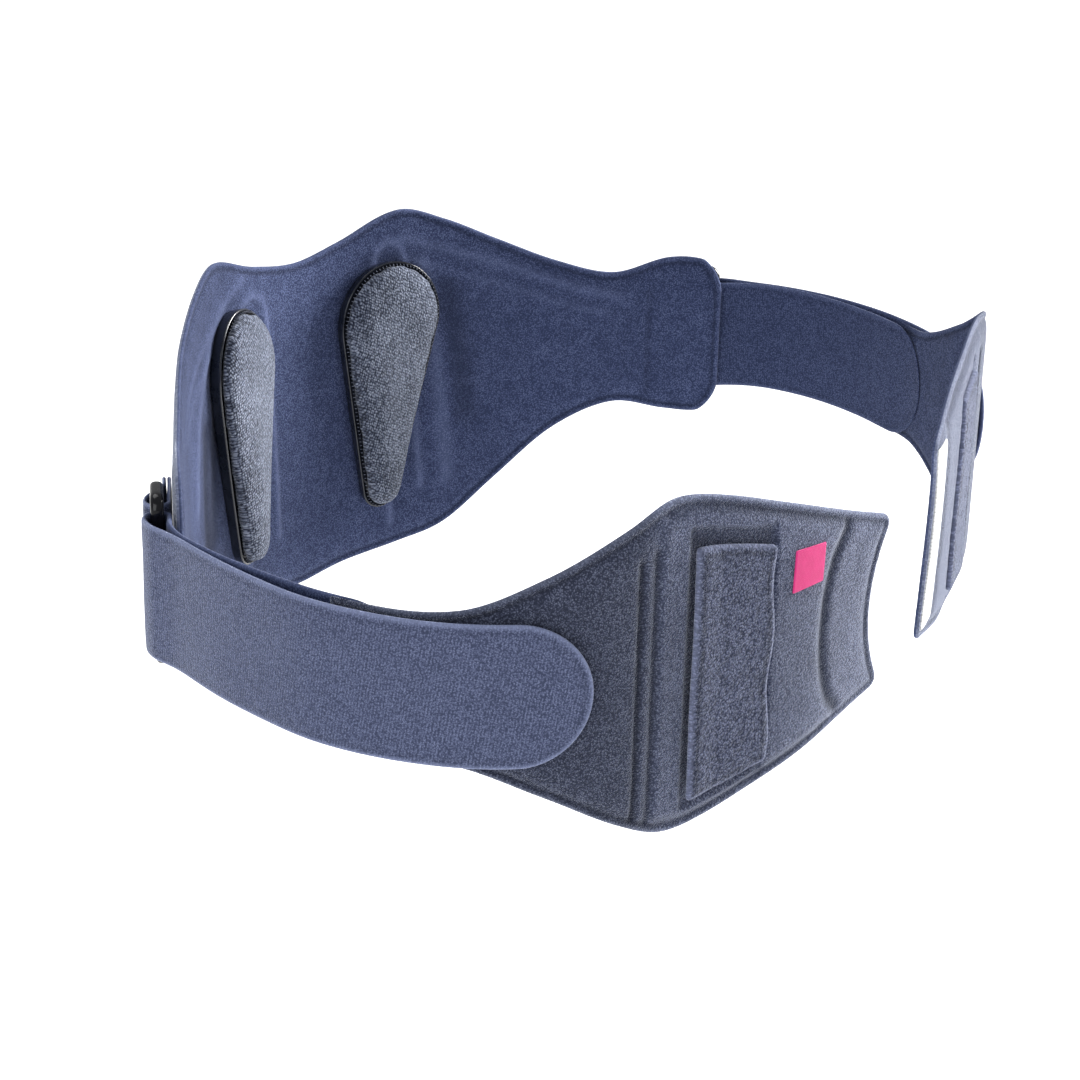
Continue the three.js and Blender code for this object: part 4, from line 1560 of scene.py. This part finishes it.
@dataclass
class FrontSide:
    """The strap, front panel and patches of one side."""

    hand: Hand
    flap_span: Spot = (0.562, 0.715)
    flap_reach: Spot = (-0.8, 0.72)
    label_span: Spot = (0.757, 0.822)
    label_reach: Spot = (0.385, 0.7)
    crease: Spot = (0.471, 0.498)
    patch_inset: float = 3.4
    patch_width: float = 17.0
    patch_bulge: float = 6.0
    step: float = 1.05
    course: Course = field(init=False)
    start: float = field(init=False)
    panel_length: float = field(init=False)

    # Rise and width of the two creases on the outer face, and how much of the rise shows on the inner one
    CREASE_FORMS = ((-1.5, 1.1), (-1.0, 1.5))
    CREASE_INSIDE = 0.3

    # Rise and width of the other sewn lines, how far they stay off the edge, and the shares of the panel's
    # length between which the edge seams and the plump field run, each with its inset
    SEAM_WIDTH = 2.4
    SEAM_INSET = 5.5
    CREASE_INSET = 4.5
    INNER_SEAM_FORM = (-0.45, 1.3)
    EDGE_SEAM_FORM = (-0.5, 1.5)
    STRAP_SEAM_FORM = (-0.4, 0.9)
    EDGE_SEAM = (0.52, 0.87, 4.6)
    PLUMP_EDGE = (0.53, 0.87, 5.0)

    # How far the hollow reaches beyond the flap: before it, after it, below it and above it
    HOLLOW_MARGIN = (0.6, 1.0, 4.6, 6.4)

    # The curved seam: share of the panel's length, and of half its height
    SEAM_ROWS = (
        (0.882, 1.0),
        (0.868, 0.86),
        (0.851, 0.66),
        (0.836, 0.28),
        (0.834, -0.12),
        (0.84, -0.42),
        (0.858, -0.78),
        (0.884, -1.0),
    )

    def __post_init__(self) -> None:
        """Settles the course and the panel's place on it."""
        self.course = front_course(self.hand)
        self.start = FRONT_START[self.hand] * self.course.length
        self.panel_length = self.course.length - self.start
        self._half = smooth_rows(FRONT_OUTLINE[self.hand], 1)

    @property
    def stand(self) -> Stand:
        """Where the panel stands."""
        return Stand(self.course, self.hand.side)

    @property
    def relief(self) -> ClosureRelief:
        """How strongly this closure shows its details."""
        return CLOSURE_RELIEF[self.hand]

    def half_height(self, s: np.ndarray) -> np.ndarray:
        """Half the height of the front panel at a distance along the course."""
        share = (np.asarray(s, float) - self.start) / self.panel_length
        return SIZES.front_height / 2 * self._half(share)

    def at(self, share: float) -> float:
        """The distance along the course at a share of the panel."""
        return self.start + share * self.panel_length

    def _edge_line(self, first: float, last: float, inset: float, top: bool) -> tuple[Spot, ...]:
        """A line that keeps a distance from the top or bottom edge, between two shares."""
        sign = 1 if top else -1
        s = np.linspace(self.at(first), self.at(last), 9)
        return tuple((float(x), float(sign * (y - inset))) for x, y in zip(s, self.half_height(s)))

    def _concave_seam(self) -> tuple[Spot, ...]:
        """The curved seam between the flap's field and the free end."""
        share, level = np.array(self.SEAM_ROWS).T
        s = self.at(share)
        half = self.half_height(s) - self.SEAM_INSET
        return tuple((float(x), float(y)) for x, y in zip(s, half * level))

    def _lines(self) -> tuple[SewnLine, ...]:
        """The panel's sewn lines."""
        found = []
        for share, (rise, width) in zip(self.crease, self.CREASE_FORMS):
            s = self.at(share)
            reach = float(self.half_height(np.array(s))) - self.CREASE_INSET
            line = ((s, -reach), (s, 0.0), (s, reach))
            found.append(SewnLine(line, rise, width, OUTSIDE))
            found.append(SewnLine(line, rise * self.CREASE_INSIDE, width, INSIDE))
        found.append(SewnLine(self._concave_seam(), self.relief.seam, self.SEAM_WIDTH, OUTSIDE))
        found.append(SewnLine(self._concave_seam(), *self.INNER_SEAM_FORM, INSIDE))
        for top in (True, False):
            edge = self._edge_line(*self.EDGE_SEAM, top)
            found.append(SewnLine(edge, *self.EDGE_SEAM_FORM, OUTSIDE))
        sewn = self.start + 4.0
        found.append(SewnLine(((sewn, -22), (sewn, 0), (sewn, 22)), *self.STRAP_SEAM_FORM, BOTH))
        return tuple(found)

    def _fields(self) -> tuple[Field, ...]:
        """The plump field between crease and seam, and the hollow that the flap sits in, darkened inside as
        painted shade.
        """
        seam = self._concave_seam()
        left = self.at(self.crease[1]) + 1.5
        top, bottom = (self._edge_line(*self.PLUMP_EDGE, upper) for upper in (True, False))
        reach = float(self.half_height(np.array(left))) - 6
        plump = [(left, -reach), *bottom, *reversed(seam), *reversed(top), (left, reach)]
        before, after, below, above = self.HOLLOW_MARGIN
        first, last = self.at(self.flap_span[0]) - before, self.at(self.flap_span[1]) + after
        s = np.array([first, last])
        half = self.half_height(s)
        low, high = self.flap_reach[0] * half - below, self.flap_reach[1] * half + above
        hollow = ((first, low[0]), (last, low[1]), (last, high[1]), (first, high[0]))
        # The hollow's tone paints shade inside it
        sunk = Field(hollow, -self.relief.hollow, 1.5, tone=self.relief.hollow_shade)
        return (Field(tuple(plump), 0.8, 4.5), sunk)

    def _bend(self, s: np.ndarray, z: np.ndarray) -> np.ndarray:
        """Soft waves of the closure beyond the strap's end."""
        free = smoothstep(s, self.at(0.5), self.at(0.7))
        return free * (0.35 * np.sin(s / 13.0 + z / 40.0) + 0.3 * np.sin(z / 17.0))

    def _tones(self, s: np.ndarray, z: np.ndarray) -> np.ndarray:
        """Darker before the crease, lighter past it and more so towards the top and bottom edges, and
        lighter again at the free end.
        """
        wing = smoothstep(s, self.at(self.crease[0]) - 2, self.at(self.crease[1]) + 6)
        edge = smoothstep(np.abs(z), 12, 46)
        return 0.66 + (0.31 + 0.15 * edge) * wing + 0.1 * smoothstep(s, self.at(0.84), self.at(0.9))

    def _thin(self, s: np.ndarray, _z: np.ndarray) -> np.ndarray:
        """The panel runs out thin where it is sewn between the strap's layers."""
        return 0.35 + 0.65 * smoothstep(s, self.start, self.start + 22)

    def panel_outline(self) -> FlatOutline:
        """The front panel laid out flat."""
        return FlatOutline.between(
            lambda s: -self.half_height(s),
            self.half_height,
            self.start,
            self.course.length,
            hollow=SIZES.free_end_hollow,
            corners=(1.0, 5.5),
        )

    def panel_sheet(self) -> Sheet:
        """The front panel's sheet, before it is stood up."""
        return Sheet(
            f"front_panel_{self.hand.value}_cloth",
            self.stand,
            self.panel_outline(),
            PANEL_RIM,
            self.step,
            lines=self._lines(),
            fields=self._fields(),
            bend=self._bend,
            thin=self._thin,
            tones=self._tones,
            pile=0.12,
        )

    def panel(self, wardrobe: Wardrobe) -> None:
        """Builds and dresses the front panel."""
        outline = self.panel_outline()
        piece = self.panel_sheet().build()
        dress(piece, "velour", [f"front_panel_{self.hand.value}"], wardrobe.velour, wardrobe.lining)
        cut_size(outline)
        cut_area(outline)

    def _layer_offset(self, on_panel: float) -> Callable[[np.ndarray], np.ndarray]:
        """How far a strap layer lies from the course, by share of the course."""
        free = SIZES.strap_wall / 2 + SIZES.clearance
        panel = FRONT_START[self.hand]
        rows = (
            (0, SIZES.strap_reach),
            (LAYERS_CLOSE[0], SIZES.strap_reach),
            (LAYERS_CLOSE[1], free),
            (panel - LAYERS_PART[0], free),
            (panel + LAYERS_PART[1], on_panel),
            (1, on_panel),
        )
        return smooth_rows(rows, 1)

    def _strap_course(self) -> Course:
        """The strap's line: from its seam on the panel to the ring, round the bar, and out to its tip."""
        gap = SIZES.clearance
        inward = self._layer_offset(SIZES.front_wall / 2 + gap + SIZES.strap_wall / 2)
        outward = self._layer_offset(SIZES.front_wall / 2 + SIZES.hook_wall + 2 * gap + SIZES.strap_wall / 2)
        near = np.linspace(SIZES.strap_seam, SIZES.strap_turn, 25)
        far = np.linspace(SIZES.strap_turn, STRAP_TIP[self.hand], 35)
        first = self.course.beside(near * self.course.length, -inward(near))
        last = self.course.beside(far * self.course.length, outward(far))
        spot, tangent, _ = self.course.at(np.array(0.0))
        return folded_course(first, spot, -tangent, SIZES.strap_reach, last)

    def strap(self, wardrobe: Wardrobe) -> None:
        """Builds and dresses the strap, with both of its layers in one piece."""
        course = self._strap_course()
        half = SIZES.strap_width / 2
        outline = FlatOutline.strip(half, 0.0, course.length, (half - 0.05, half - 0.05))

        def thin(s: np.ndarray, _z: np.ndarray) -> np.ndarray:
            """The inner layer runs out thin at its round seam."""
            return 0.25 + 0.75 * smoothstep(s, 0, 36)

        def bend(s: np.ndarray, z: np.ndarray) -> np.ndarray:
            """Slight waves, as stretched elastic has, and the inner layer's seam pressed to the panel."""
            seam = 1 - smoothstep(s, 4, 40)
            waves = 0.12 * np.sin(s / 9.0 + z / 30.0) * (1 - seam)
            return waves + 0.1 * np.sin(z / 8.0 + s / 50.0) - 0.85 * seam

        piece = Sheet(
            f"strap_{self.hand.value}_cloth",
            Stand(course, self.hand.side),
            outline,
            STRAP_RIM,
            1.3,
            bend=bend,
            thin=thin,
            seam_shading=0.3,
        ).build()
        dress(piece, "elastic", [f"strap_{self.hand.value}"], wardrobe.elastic, wardrobe.elastic_lining)
        self._darken_inside(piece)
        cut_size(outline)
        cut_area(outline)

    def _darken_inside(self, piece: bpy.types.Object) -> None:
        """The layer next to the wearer shows the lining's finish on its exposed face."""
        fold = SIZES.strap_seam * self.course.length
        layer = piece.data.uv_layers[CUT].uv
        for polygon in piece.data.polygons:
            if polygon.material_index == 0 and layer[polygon.loop_start].vector[0] / MM < fold:
                polygon.material_index = 1

    def _patch_outline(
        self, span: Spot, reach: Spot, skew: float = 0.0, shear: float = 0.0, corner: float = 1.0
    ) -> FlatOutline:
        """A patch that follows the panel's own edges.

        Args:
            span: The shares of the panel's length between which it lies.
            reach: Its bottom and top, as shares of half the panel's height.
            skew: How far its uprights lean, as a share of the panel's length over its height.
            shear: How steeply its other two sides rise, beside the panel's own edges.
            corner: The radius of its corners.

        Returns:
            The outline.
        """
        first, last = self.at(span[0]), self.at(span[1])
        made = FlatOutline.between(
            lambda s: reach[0] * self.half_height(s), lambda s: reach[1] * self.half_height(s), first, last
        )
        middle = float(made.loop()[:, 1].mean())
        for line in (made.bottom, made.end, made.top, made.start):
            share = (line[:, 1] - middle) / SIZES.front_height
            line[:, 1] += shear * (line[:, 0] - (first + last) / 2)
            line[:, 0] += skew * self.panel_length * share
        return made.with_corners(corner, corner)

    def flap(self, wardrobe: Wardrobe) -> None:
        """Builds and dresses the raised hand flap, plain and unmarked."""
        outline = self._patch_outline(self.flap_span, self.flap_reach, corner=1.6)
        height = float(np.ptp(outline.end[:, 1]))
        wave = np.sin((outline.end[:, 1] - outline.end[0, 1]) / height * 4.2 * math.pi)
        ends = np.clip(1 - np.abs(np.linspace(-1, 1, len(wave))) ** 6, 0, 1)
        outline.end[:, 0] += 0.8 * wave * ends
        top = SIZES.front_wall / 2 + SIZES.clearance + SIZES.flap_wall
        first, last = self.at(self.flap_span[0]), self.at(self.flap_span[1])
        grip = self.relief.grip

        def bend(s: np.ndarray, z: np.ndarray) -> np.ndarray:
            """The grip edge stands up, and the other edge lifts a little."""
            across = (s - first) / (last - first)
            raised = grip * (1 - smoothstep(across, 0, 0.35)) + 0.4 * grip * smoothstep(across, 0.8, 1)
            return raised + 0.2 * np.sin(z / 9.0)

        piece = Sheet(
            f"hand_flap_{self.hand.value}_cloth",
            self.stand,
            outline,
            FLAP_RIM,
            0.85,
            middle=top - self.relief.flap_sink,
            bend=bend,
            pile=0.3,
            pile_size=1.5,
        ).build()
        dress(piece, "velour", [f"hand_flap_{self.hand.value}"], wardrobe.flap, wardrobe.flap)

    def _laid(
        self, name: str, outline: FlatOutline, rim: Rim, step: float, seat: float, under: FlatRule | None
    ) -> bpy.types.Object:
        """A thin flat patch on the closure, without a sewn seam of its own.

        Args:
            name: The piece's name.
            outline: Its cut.
            rim: Its thickness near its edge.
            step: The size of its mesh.
            seat: How far outward its middle lies, from what it lies on.
            under: The face that it lies on, or none for the course itself.

        Returns:
            The object.
        """
        return Sheet(
            name, self.stand, outline, rim, step, seat, bend=under, rubbed=0.2, seam_shading=0.0, pile=0.0
        ).build()

    def label(self, wardrobe: Wardrobe) -> None:
        """Builds and dresses the plain woven patch beside the flap."""
        outline = self._patch_outline(self.label_span, self.label_reach, skew=0.02, shear=0.22, corner=0.5)
        face = self.panel_sheet().outer_face
        piece = self._laid("label_left_cloth", outline, LABEL_RIM, 0.5, SIZES.label_wall / 2 - 0.1, face)
        dress(piece, "label", ["label_left"], wardrobe.label, wardrobe.label)
        cut_size(outline)
        cut_area(outline)

    def strap_hook(self, wardrobe: Wardrobe) -> None:
        """Builds and dresses the hook tape under the strap's round end."""
        length = SIZES.hook_share * self.course.length
        end = STRAP_TIP[self.hand] * self.course.length - SIZES.hook_margin
        half = SIZES.strap_width / 2 - SIZES.hook_margin
        outline = FlatOutline.strip(half, end - length, end, (1.0, half - 0.05))
        seat = SIZES.front_wall / 2 + SIZES.clearance + SIZES.hook_wall / 2
        piece = self._laid(f"strap_hook_{self.hand.value}_tape", outline, TAPE_RIM, 1.1, seat, None)
        dress(piece, "hook", [f"strap_hook_{self.hand.value}"], wardrobe.hook, wardrobe.hook)
        cut_size(outline)
        cut_area(outline)

    def hook_patch(self, wardrobe: Wardrobe) -> None:
        """Builds and dresses the white hook tape along the free end."""
        last = self.course.length - self.patch_inset
        half = float(self.half_height(np.array(self.course.length - 8))) - 4.5
        t = np.linspace(0, 1, END_SPOTS)
        rise = -half + 2 * half * t
        end = np.stack([last - 4 * SIZES.free_end_hollow * t * (1 - t), rise], 1)
        start = np.stack([last - self.patch_width - self.patch_bulge * np.sin(math.pi * t), rise], 1)
        bottom, top = (np.linspace(start[row], end[row], END_SPOTS) for row in (0, -1))
        outline = FlatOutline(bottom, end, top, start).with_corners(1.5, 1.5)
        face = self.panel_sheet().outer_face
        piece = self._laid("hook_patch_right_tape", outline, TAPE_RIM, 0.8, SIZES.hook_wall / 2 - 0.15, face)
        dress(piece, "hook", ["hook_patch_right"], wardrobe.hook, wardrobe.hook)
        cut_size(outline)
        cut_area(outline)


# The pads


@dataclass
class Pad:
    """A removable teardrop pad: a moulded tray, a puffed knitted cover and its edge stitches."""

    hand: Hand
    height: float = 118.0
    broad: float = 27.0
    narrow: float = 10.0
    along: float = 0.22
    low: float = -72.0
    lean: float = 7.0
    shell: float = 4.0
    cushion: float = 11.0
    grain: float = 3.0
    frames: int = 20
    pressure: float = 4.0
    cap: float = 2.2

    # Spots on the outline's round top, on each side and on its round tip
    TOP_SPOTS = 72
    SIDE_SPOTS = 22
    TIP_SPOTS = 30

    # The tray's rings: the scale and the inset of the outline, and the height over the panel
    TRAY_ROWS = (
        (0.0, 0.0, 0.15),
        (0.3, 0.0, 0.15),
        (0.6, 0.0, 0.15),
        (0.9, 0.0, 0.15),
        (1.0, 1.4, 0.1),
        (1.0, 0.6, 0.3),
        (1.0, 0.15, 0.8),
        (1.0, 0.0, 1.6),
        (1.0, -0.25, 2.8),
        (1.0, -0.55, 3.9),
        (1.0, -0.7, 4.6),
        (1.0, -0.6, 5.1),
        (1.0, -0.25, 5.35),
        (1.0, 0.2, 5.2),
        (1.0, 0.5, 4.7),
        (1.0, 0.7, 4.0),
        (1.0, 1.2, 3.7),
        (0.9, 0.0, 3.7),
        (0.6, 0.0, 3.7),
        (0.3, 0.0, 3.7),
        (0.0, 0.0, 3.7),
    )

    # The cover's first rings in the same columns, with the height over the tray, and the scales of its crown
    COVER_ROWS = (
        (0.0, 0.0, 0.0),
        (0.3, 0.0, 0.0),
        (0.6, 0.0, 0.0),
        (0.85, 0.0, 0.0),
        (1.0, 2.6, 0.0),
        (1.0, 1.2, 0.3),
        (1.0, 0.5, 1.2),
        (1.0, 0.3, 2.4),
    )
    CROWN = (0.985, 0.95, 0.88, 0.78, 0.65, 0.5, 0.34, 0.17, 0.0)
    WALL_RISE = 2.4
    DOME = (3.2, 1.8)

    # The edge stitches: the inset of each end and its height over the cover's flat side, and their pitch
    STITCH_ENDS = ((0.1, 1.6), (0.9, 2.8))
    STITCH_PITCH = 1.9

    # The knit: its painted highlight on top and its painted shade at the edge, each with the heights over
    # the flat side between which it changes, and the size, seed and rise of its loops
    TOP_HIGHLIGHT = (0.4, 9, 11)
    EDGE_SHADE = (0.9, 0.6, 3)
    LOOPS = (1.5, 3.1, 0.16)

    # The stretch of the back course to each side of the pad's middle, and the spots along it
    SPAN = 45
    SPAN_SPOTS = 181

    @property
    def floor(self) -> float:
        """From the back course to the cover's flat side."""
        return SIZES.back_wall / 2 + SIZES.clearance + self.shell + SIZES.clearance

    @property
    def stand(self) -> Stand:
        """Where the pad stands."""
        return Stand(BACK[self.hand], self.hand.side)

    @property
    def middle(self) -> float:
        """The pad's middle along the back course."""
        share = SPINE_SHARE[self.hand] + (1 - SPINE_SHARE[self.hand]) * self.along
        return share * BACK[self.hand].length

    def _ring(self, scale: float, inset: float) -> np.ndarray:
        """The teardrop outline as flat places, made smaller by a scale about its core and by an inset."""
        high, low = self.height - self.broad, self.narrow
        tilt = math.asin((self.broad - self.narrow) / (high - low))
        rows = []
        for angle in np.linspace(-tilt, math.pi + tilt, self.TOP_SPOTS):
            rows.append((0.0, math.cos(angle), math.sin(angle)))
        for t in np.linspace(0, 1, self.SIDE_SPOTS)[1:-1]:
            rows.append((t, math.cos(math.pi + tilt), math.sin(math.pi + tilt)))
        for angle in np.linspace(math.pi + tilt, 2 * math.pi - tilt, self.TIP_SPOTS):
            rows.append((1.0, math.cos(angle), math.sin(angle)))
        for t in np.linspace(1, 0, self.SIDE_SPOTS)[1:-1]:
            rows.append((t, math.cos(-tilt), math.sin(-tilt)))
        table = np.array(rows)
        radius = (self.broad + (self.narrow - self.broad) * table[:, 0]) * scale - inset
        core = high + (low - high) * table[:, 0]
        x, y = table[:, 1] * radius, core + table[:, 2] * radius
        return np.stack([self.middle + x + self.lean * (y / self.height - 0.5), self.low + y], 1)

    def _stood(self, flat: np.ndarray, depth: float) -> np.ndarray:
        """Flat places stood up, at a depth from the course towards the wearer."""
        return self.stand.place(flat[:, 0], flat[:, 1], np.full(len(flat), -depth))

    def _lofted(self, name: str, rows: Sequence[tuple[float, float, float]]) -> bpy.types.Object:
        """A closed body through rings of the outline.

        Args:
            name: The piece's name.
            rows: The scale, the inset and the depth from the course towards the wearer of each ring.

        Returns:
            The object.
        """
        flats = [self._ring(scale, inset) for scale, inset, _ in rows]
        points = [self._stood(flat, row[2]) for flat, row in zip(flats, rows)]
        faces = tube_faces(len(rows), len(points[0]))
        piece = new_object(name, np.vstack(points), faces, cut=np.vstack(flats))
        turn_outward(piece, merge=2e-6)
        return piece

    def tray(self, wardrobe: Wardrobe) -> None:
        """Builds and dresses the moulded tray with its rolled lip."""
        back = SIZES.back_wall / 2 + SIZES.clearance
        rows = [(scale, inset, back + height) for scale, inset, height in self.TRAY_ROWS]
        piece = self._lofted(f"pad_tray_{self.hand.value}", rows)
        dress(piece, "shell", [f"pad_base_{self.hand.value}"], wardrobe.shell)

    def _cover_rows(self) -> list[tuple[float, float, float]]:
        """The rings of the cover before it is puffed."""
        rows = [(scale, inset, self.floor + height) for scale, inset, height in self.COVER_ROWS]
        crown = self.cushion - 1.8
        for k in self.CROWN:
            rise = self.WALL_RISE + (crown - self.WALL_RISE) * (1 - k ** self.DOME[0]) ** (1 / self.DOME[1])
            rows.append((k, 0.3 * k, self.floor + rise))
        return rows

    def cover(self, wardrobe: Wardrobe) -> None:
        """Builds, puffs and dresses the knitted cover, and sews its edge."""
        piece = self._lofted(f"pad_cover_{self.hand.value}_knit", self._cover_rows())
        self._puff(piece)
        self._finish_cover(piece)
        dress(piece, "terry", [f"pad_cover_{self.hand.value}"], wardrobe.terry)
        ends = [self._stood(self._ring(1.0, inset), self.floor + rise) for inset, rise in self.STITCH_ENDS]
        run = run_of(ends[0])
        spots = np.arange(0.5, run[-1] / MM, self.STITCH_PITCH) * MM
        low, high = (read_along(end, run, spots) for end in ends)
        stitches = Stitches(f"pad_cover_{self.hand.value}_stitches", length=1.2, width=0.4, height=0.18)
        row = stitches.build((low + high) / 2, high - low, low - ends[0].mean(0))
        dress(row, "terry", [], wardrobe.thread)

    def _depths(self, piece: bpy.types.Object) -> tuple[np.ndarray, np.ndarray]:
        """The flat places of a piece's points, and their depth from the course."""
        points = self._points(piece) / MM
        s = np.linspace(self.middle - self.SPAN, self.middle + self.SPAN, self.SPAN_SPOTS)
        spot, _, normal = BACK[self.hand].at(s)
        flat = points[:, :2] * np.array([self.hand.side, 1])
        gap = flat[:, None] - spot[None]
        aside = (gap**2).sum(-1) - (gap * normal).sum(-1) ** 2
        nearest = np.argmin(aside, 1)
        depth = -((flat - spot[nearest]) * normal[nearest]).sum(1)
        return np.stack([s[nearest], points[:, 2]], 1), depth

    def _puff(self, piece: bpy.types.Object) -> None:
        """Fills the cover by a short cloth simulation, held at its seam."""
        remesh = piece.modifiers.new("even", "REMESH")
        remesh.mode = "VOXEL"
        remesh.voxel_size = self.grain * MM
        self._apply(piece, remesh)
        _, depth = self._depths(piece)
        hold = piece.vertex_groups.new(name="seam")
        hold.add([int(i) for i in np.nonzero(depth < self.floor + self.cap)[0]], 1.0, "REPLACE")
        before = self._points(piece)
        cloth = piece.modifiers.new("puff", "CLOTH")
        cloth.settings.vertex_group_mass = "seam"
        cloth.settings.use_pressure = True
        cloth.settings.uniform_pressure_force = self.pressure
        cloth.settings.effector_weights.gravity = 0.0
        cloth.settings.quality = 5
        cloth.point_cache.frame_start = 1
        cloth.point_cache.frame_end = self.frames
        scene = bpy.context.scene
        for number in range(1, self.frames + 1):
            scene.frame_set(number)
        self._apply(piece, cloth)
        scene.frame_set(1)
        move = self._points(piece) - before
        reach = np.linalg.norm(move, axis=1, keepdims=True)
        limit = np.minimum(1.0, self.cap * MM / np.maximum(reach, HAIR))
        piece.data.vertices.foreach_set("co", (before + move * limit).astype(np.float32).ravel())
        piece.vertex_groups.clear()

    def _finish_cover(self, piece: bpy.types.Object) -> None:
        """Smooths the cover, maps its flat places, paints highlight on its top and shade at its edge, and
        roughens its loops.
        """
        even = piece.modifiers.new("even", "SMOOTH")
        even.iterations = 4
        even.factor = 0.5
        self._apply(piece, even)
        fine = piece.modifiers.new("fine", "SUBSURF")
        fine.levels = fine.render_levels = 2
        self._apply(piece, fine)
        mesh = piece.data
        shade_smooth(mesh)
        flat, depth = self._depths(piece)
        for layer in list(mesh.uv_layers):
            mesh.uv_layers.remove(layer)
        map_flat(mesh, flat)
        height = depth - self.floor
        # Painted highlight on the crown and painted shade at the edge where the cover meets the tray
        top = self.TOP_HIGHLIGHT[0] * smoothstep(height, *self.TOP_HIGHLIGHT[1:])
        edge = self.EDGE_SHADE[0] * (1 - smoothstep(height, *self.EDGE_SHADE[1:]))
        mark(mesh, WEAR_AND_SHADING, top - edge)
        mark(mesh, TONE, np.ones(len(mesh.vertices)))
        normals = np.zeros(len(mesh.vertices) * 3)
        mesh.vertex_normals.foreach_get("vector", normals)
        size, seed, rise = self.LOOPS
        lump = value_noise(flat, size, seed) * rise * MM
        points = self._points(piece) + normals.reshape(-1, 3) * lump[:, None]
        mesh.vertices.foreach_set("co", points.astype(np.float32).ravel())
        mesh.update()

    @staticmethod
    def _points(piece: bpy.types.Object) -> np.ndarray:
        """The piece's points in metres."""
        points = np.zeros(len(piece.data.vertices) * 3)
        piece.data.vertices.foreach_get("co", points)
        return points.reshape(-1, 3)

    @staticmethod
    def _apply(piece: bpy.types.Object, modifier: bpy.types.Modifier) -> None:
        """Applies one modifier."""
        bpy.context.view_layer.objects.active = piece
        bpy.ops.object.modifier_apply(modifier=modifier.name)


# The studio


@dataclass(frozen=True)
class Lamp:
    """A square soft light, aimed at the belt."""

    name: str
    place: tuple[float, float, float]
    power: float
    width: float
    tint: Colour = (1.0, 1.0, 1.0)

    def make(self) -> None:
        """Adds the light to the scene."""
        data = bpy.data.lights.new(self.name, "AREA")
        data.energy = self.power
        data.size = self.width
        data.color = self.tint
        lamp = bpy.data.objects.new(self.name, data)
        lamp.location = self.place
        lamp.rotation_euler = (-Vector(self.place)).to_track_quat("-Z", "Y").to_euler()
        bpy.context.scene.collection.objects.link(lamp)


@dataclass(frozen=True)
class Studio:
    """The camera at the photograph's angle, a plain pale floor and soft light."""

    eye: tuple[float, float, float] = (-0.7664, -0.5367, 0.3372)
    heading: float = math.radians(54.0)
    pitch: float = 0.3778551
    roll: float = 0.0232696
    lens: float = 80.0
    sensor: float = 36.0
    sight: Spot = (0.01, 400.0)
    floor_level: float = -0.6
    floor_size: float = 240.0
    floor_glow: float = 0.8
    floor_tones: tuple[tuple[float, Colour], ...] = ((0.3, (0.6, 0.6, 0.6)), (0.7, (0.62, 0.62, 0.62)))
    sky: Colour = (0.97, 0.98, 1.0)
    sky_strength: float = 0.46
    lamps: tuple[Lamp, ...] = (
        Lamp("key_right", (1.9, -0.72, 0.72), 135.0, 0.9, (1.0, 0.99, 0.98)),
        Lamp("fill_left", (-1.7, -0.35, 0.8), 15.0, 1.3, (0.96, 0.98, 1.0)),
        Lamp("top_back", (0.1, 0.9, 1.8), 12.0, 1.1),
    )

    def camera(self) -> None:
        """Adds the camera."""
        data = bpy.data.cameras.new("photo_camera")
        data.lens = self.lens
        data.sensor_width = self.sensor
        data.clip_start, data.clip_end = self.sight
        ahead = Vector(
            (
                math.sin(self.heading) * math.cos(self.pitch),
                math.cos(self.heading) * math.cos(self.pitch),
                -math.sin(self.pitch),
            )
        )
        across = ahead.cross(Vector((0, 0, 1))).normalized()
        up = across.cross(ahead)
        turned = Matrix((across, up, -ahead)).transposed().to_4x4() @ Matrix.Rotation(self.roll, 4, "Z")
        camera = bpy.data.objects.new("photo_camera", data)
        camera.matrix_world = Matrix.Translation(self.eye) @ turned
        bpy.context.scene.collection.objects.link(camera)
        bpy.context.scene.camera = camera

    def floor(self) -> None:
        """Adds the pale floor, well below the held belt."""
        half = self.floor_size / 2
        corners = np.array([(-half, -half, 0), (half, -half, 0), (half, half, 0), (-half, half, 0)])
        piece = new_object("studio_floor", corners + np.array([0, 0, self.floor_level]), [(0, 1, 2, 3)])
        board = Board("pale_floor")
        place = board.add("TexCoord").outputs["Object"]
        tone = board.add("TexNoise", {"Vector": place, "Scale": 0.8, "Detail": 1.0}).outputs[0]
        colour = board.ramp(tone, self.floor_tones)
        board.set(Base_Color=colour, Roughness=1.0, Specular_IOR_Level=0.0)
        board.set(Emission_Color=(1.0, 1.0, 1.0, 1.0), Emission_Strength=self.floor_glow)
        piece.data.materials.append(board.material)

    def light(self) -> None:
        """Adds the lamps and the even white surroundings."""
        for lamp in self.lamps:
            lamp.make()
        world = bpy.data.worlds.new("even_white")
        world.use_nodes = True
        back = world.node_tree.nodes["Background"]
        back.inputs["Color"].default_value = (*self.sky, 1.0)
        back.inputs["Strength"].default_value = self.sky_strength
        bpy.context.scene.world = world
        bpy.context.scene.view_settings.view_transform = "Standard"

    def make(self) -> None:
        """Sets up the whole studio."""
        self.camera()
        self.floor()
        self.light()


def main() -> None:
    """Builds the belt piece by piece, then its studio."""
    logging.basicConfig(level=logging.INFO, format="%(name)s %(message)s")
    Studio().make()
    wardrobe = Wardrobe()
    BackPanel().make(wardrobe)
    for hand in Hand:
        ring_set = RingSet(hand)
        ring_set.ring(wardrobe)
        ring_set.tab(wardrobe)
        front = FrontSide(hand)
        front.strap(wardrobe)
        front.panel(wardrobe)
        front.strap_hook(wardrobe)
        front.flap(wardrobe)
        if hand is Hand.LEFT:
            front.label(wardrobe)
        else:
            front.hook_patch(wardrobe)
        pad = Pad(hand)
        pad.tray(wardrobe)
        pad.cover(wardrobe)


if __name__ == "__main__":
    main()
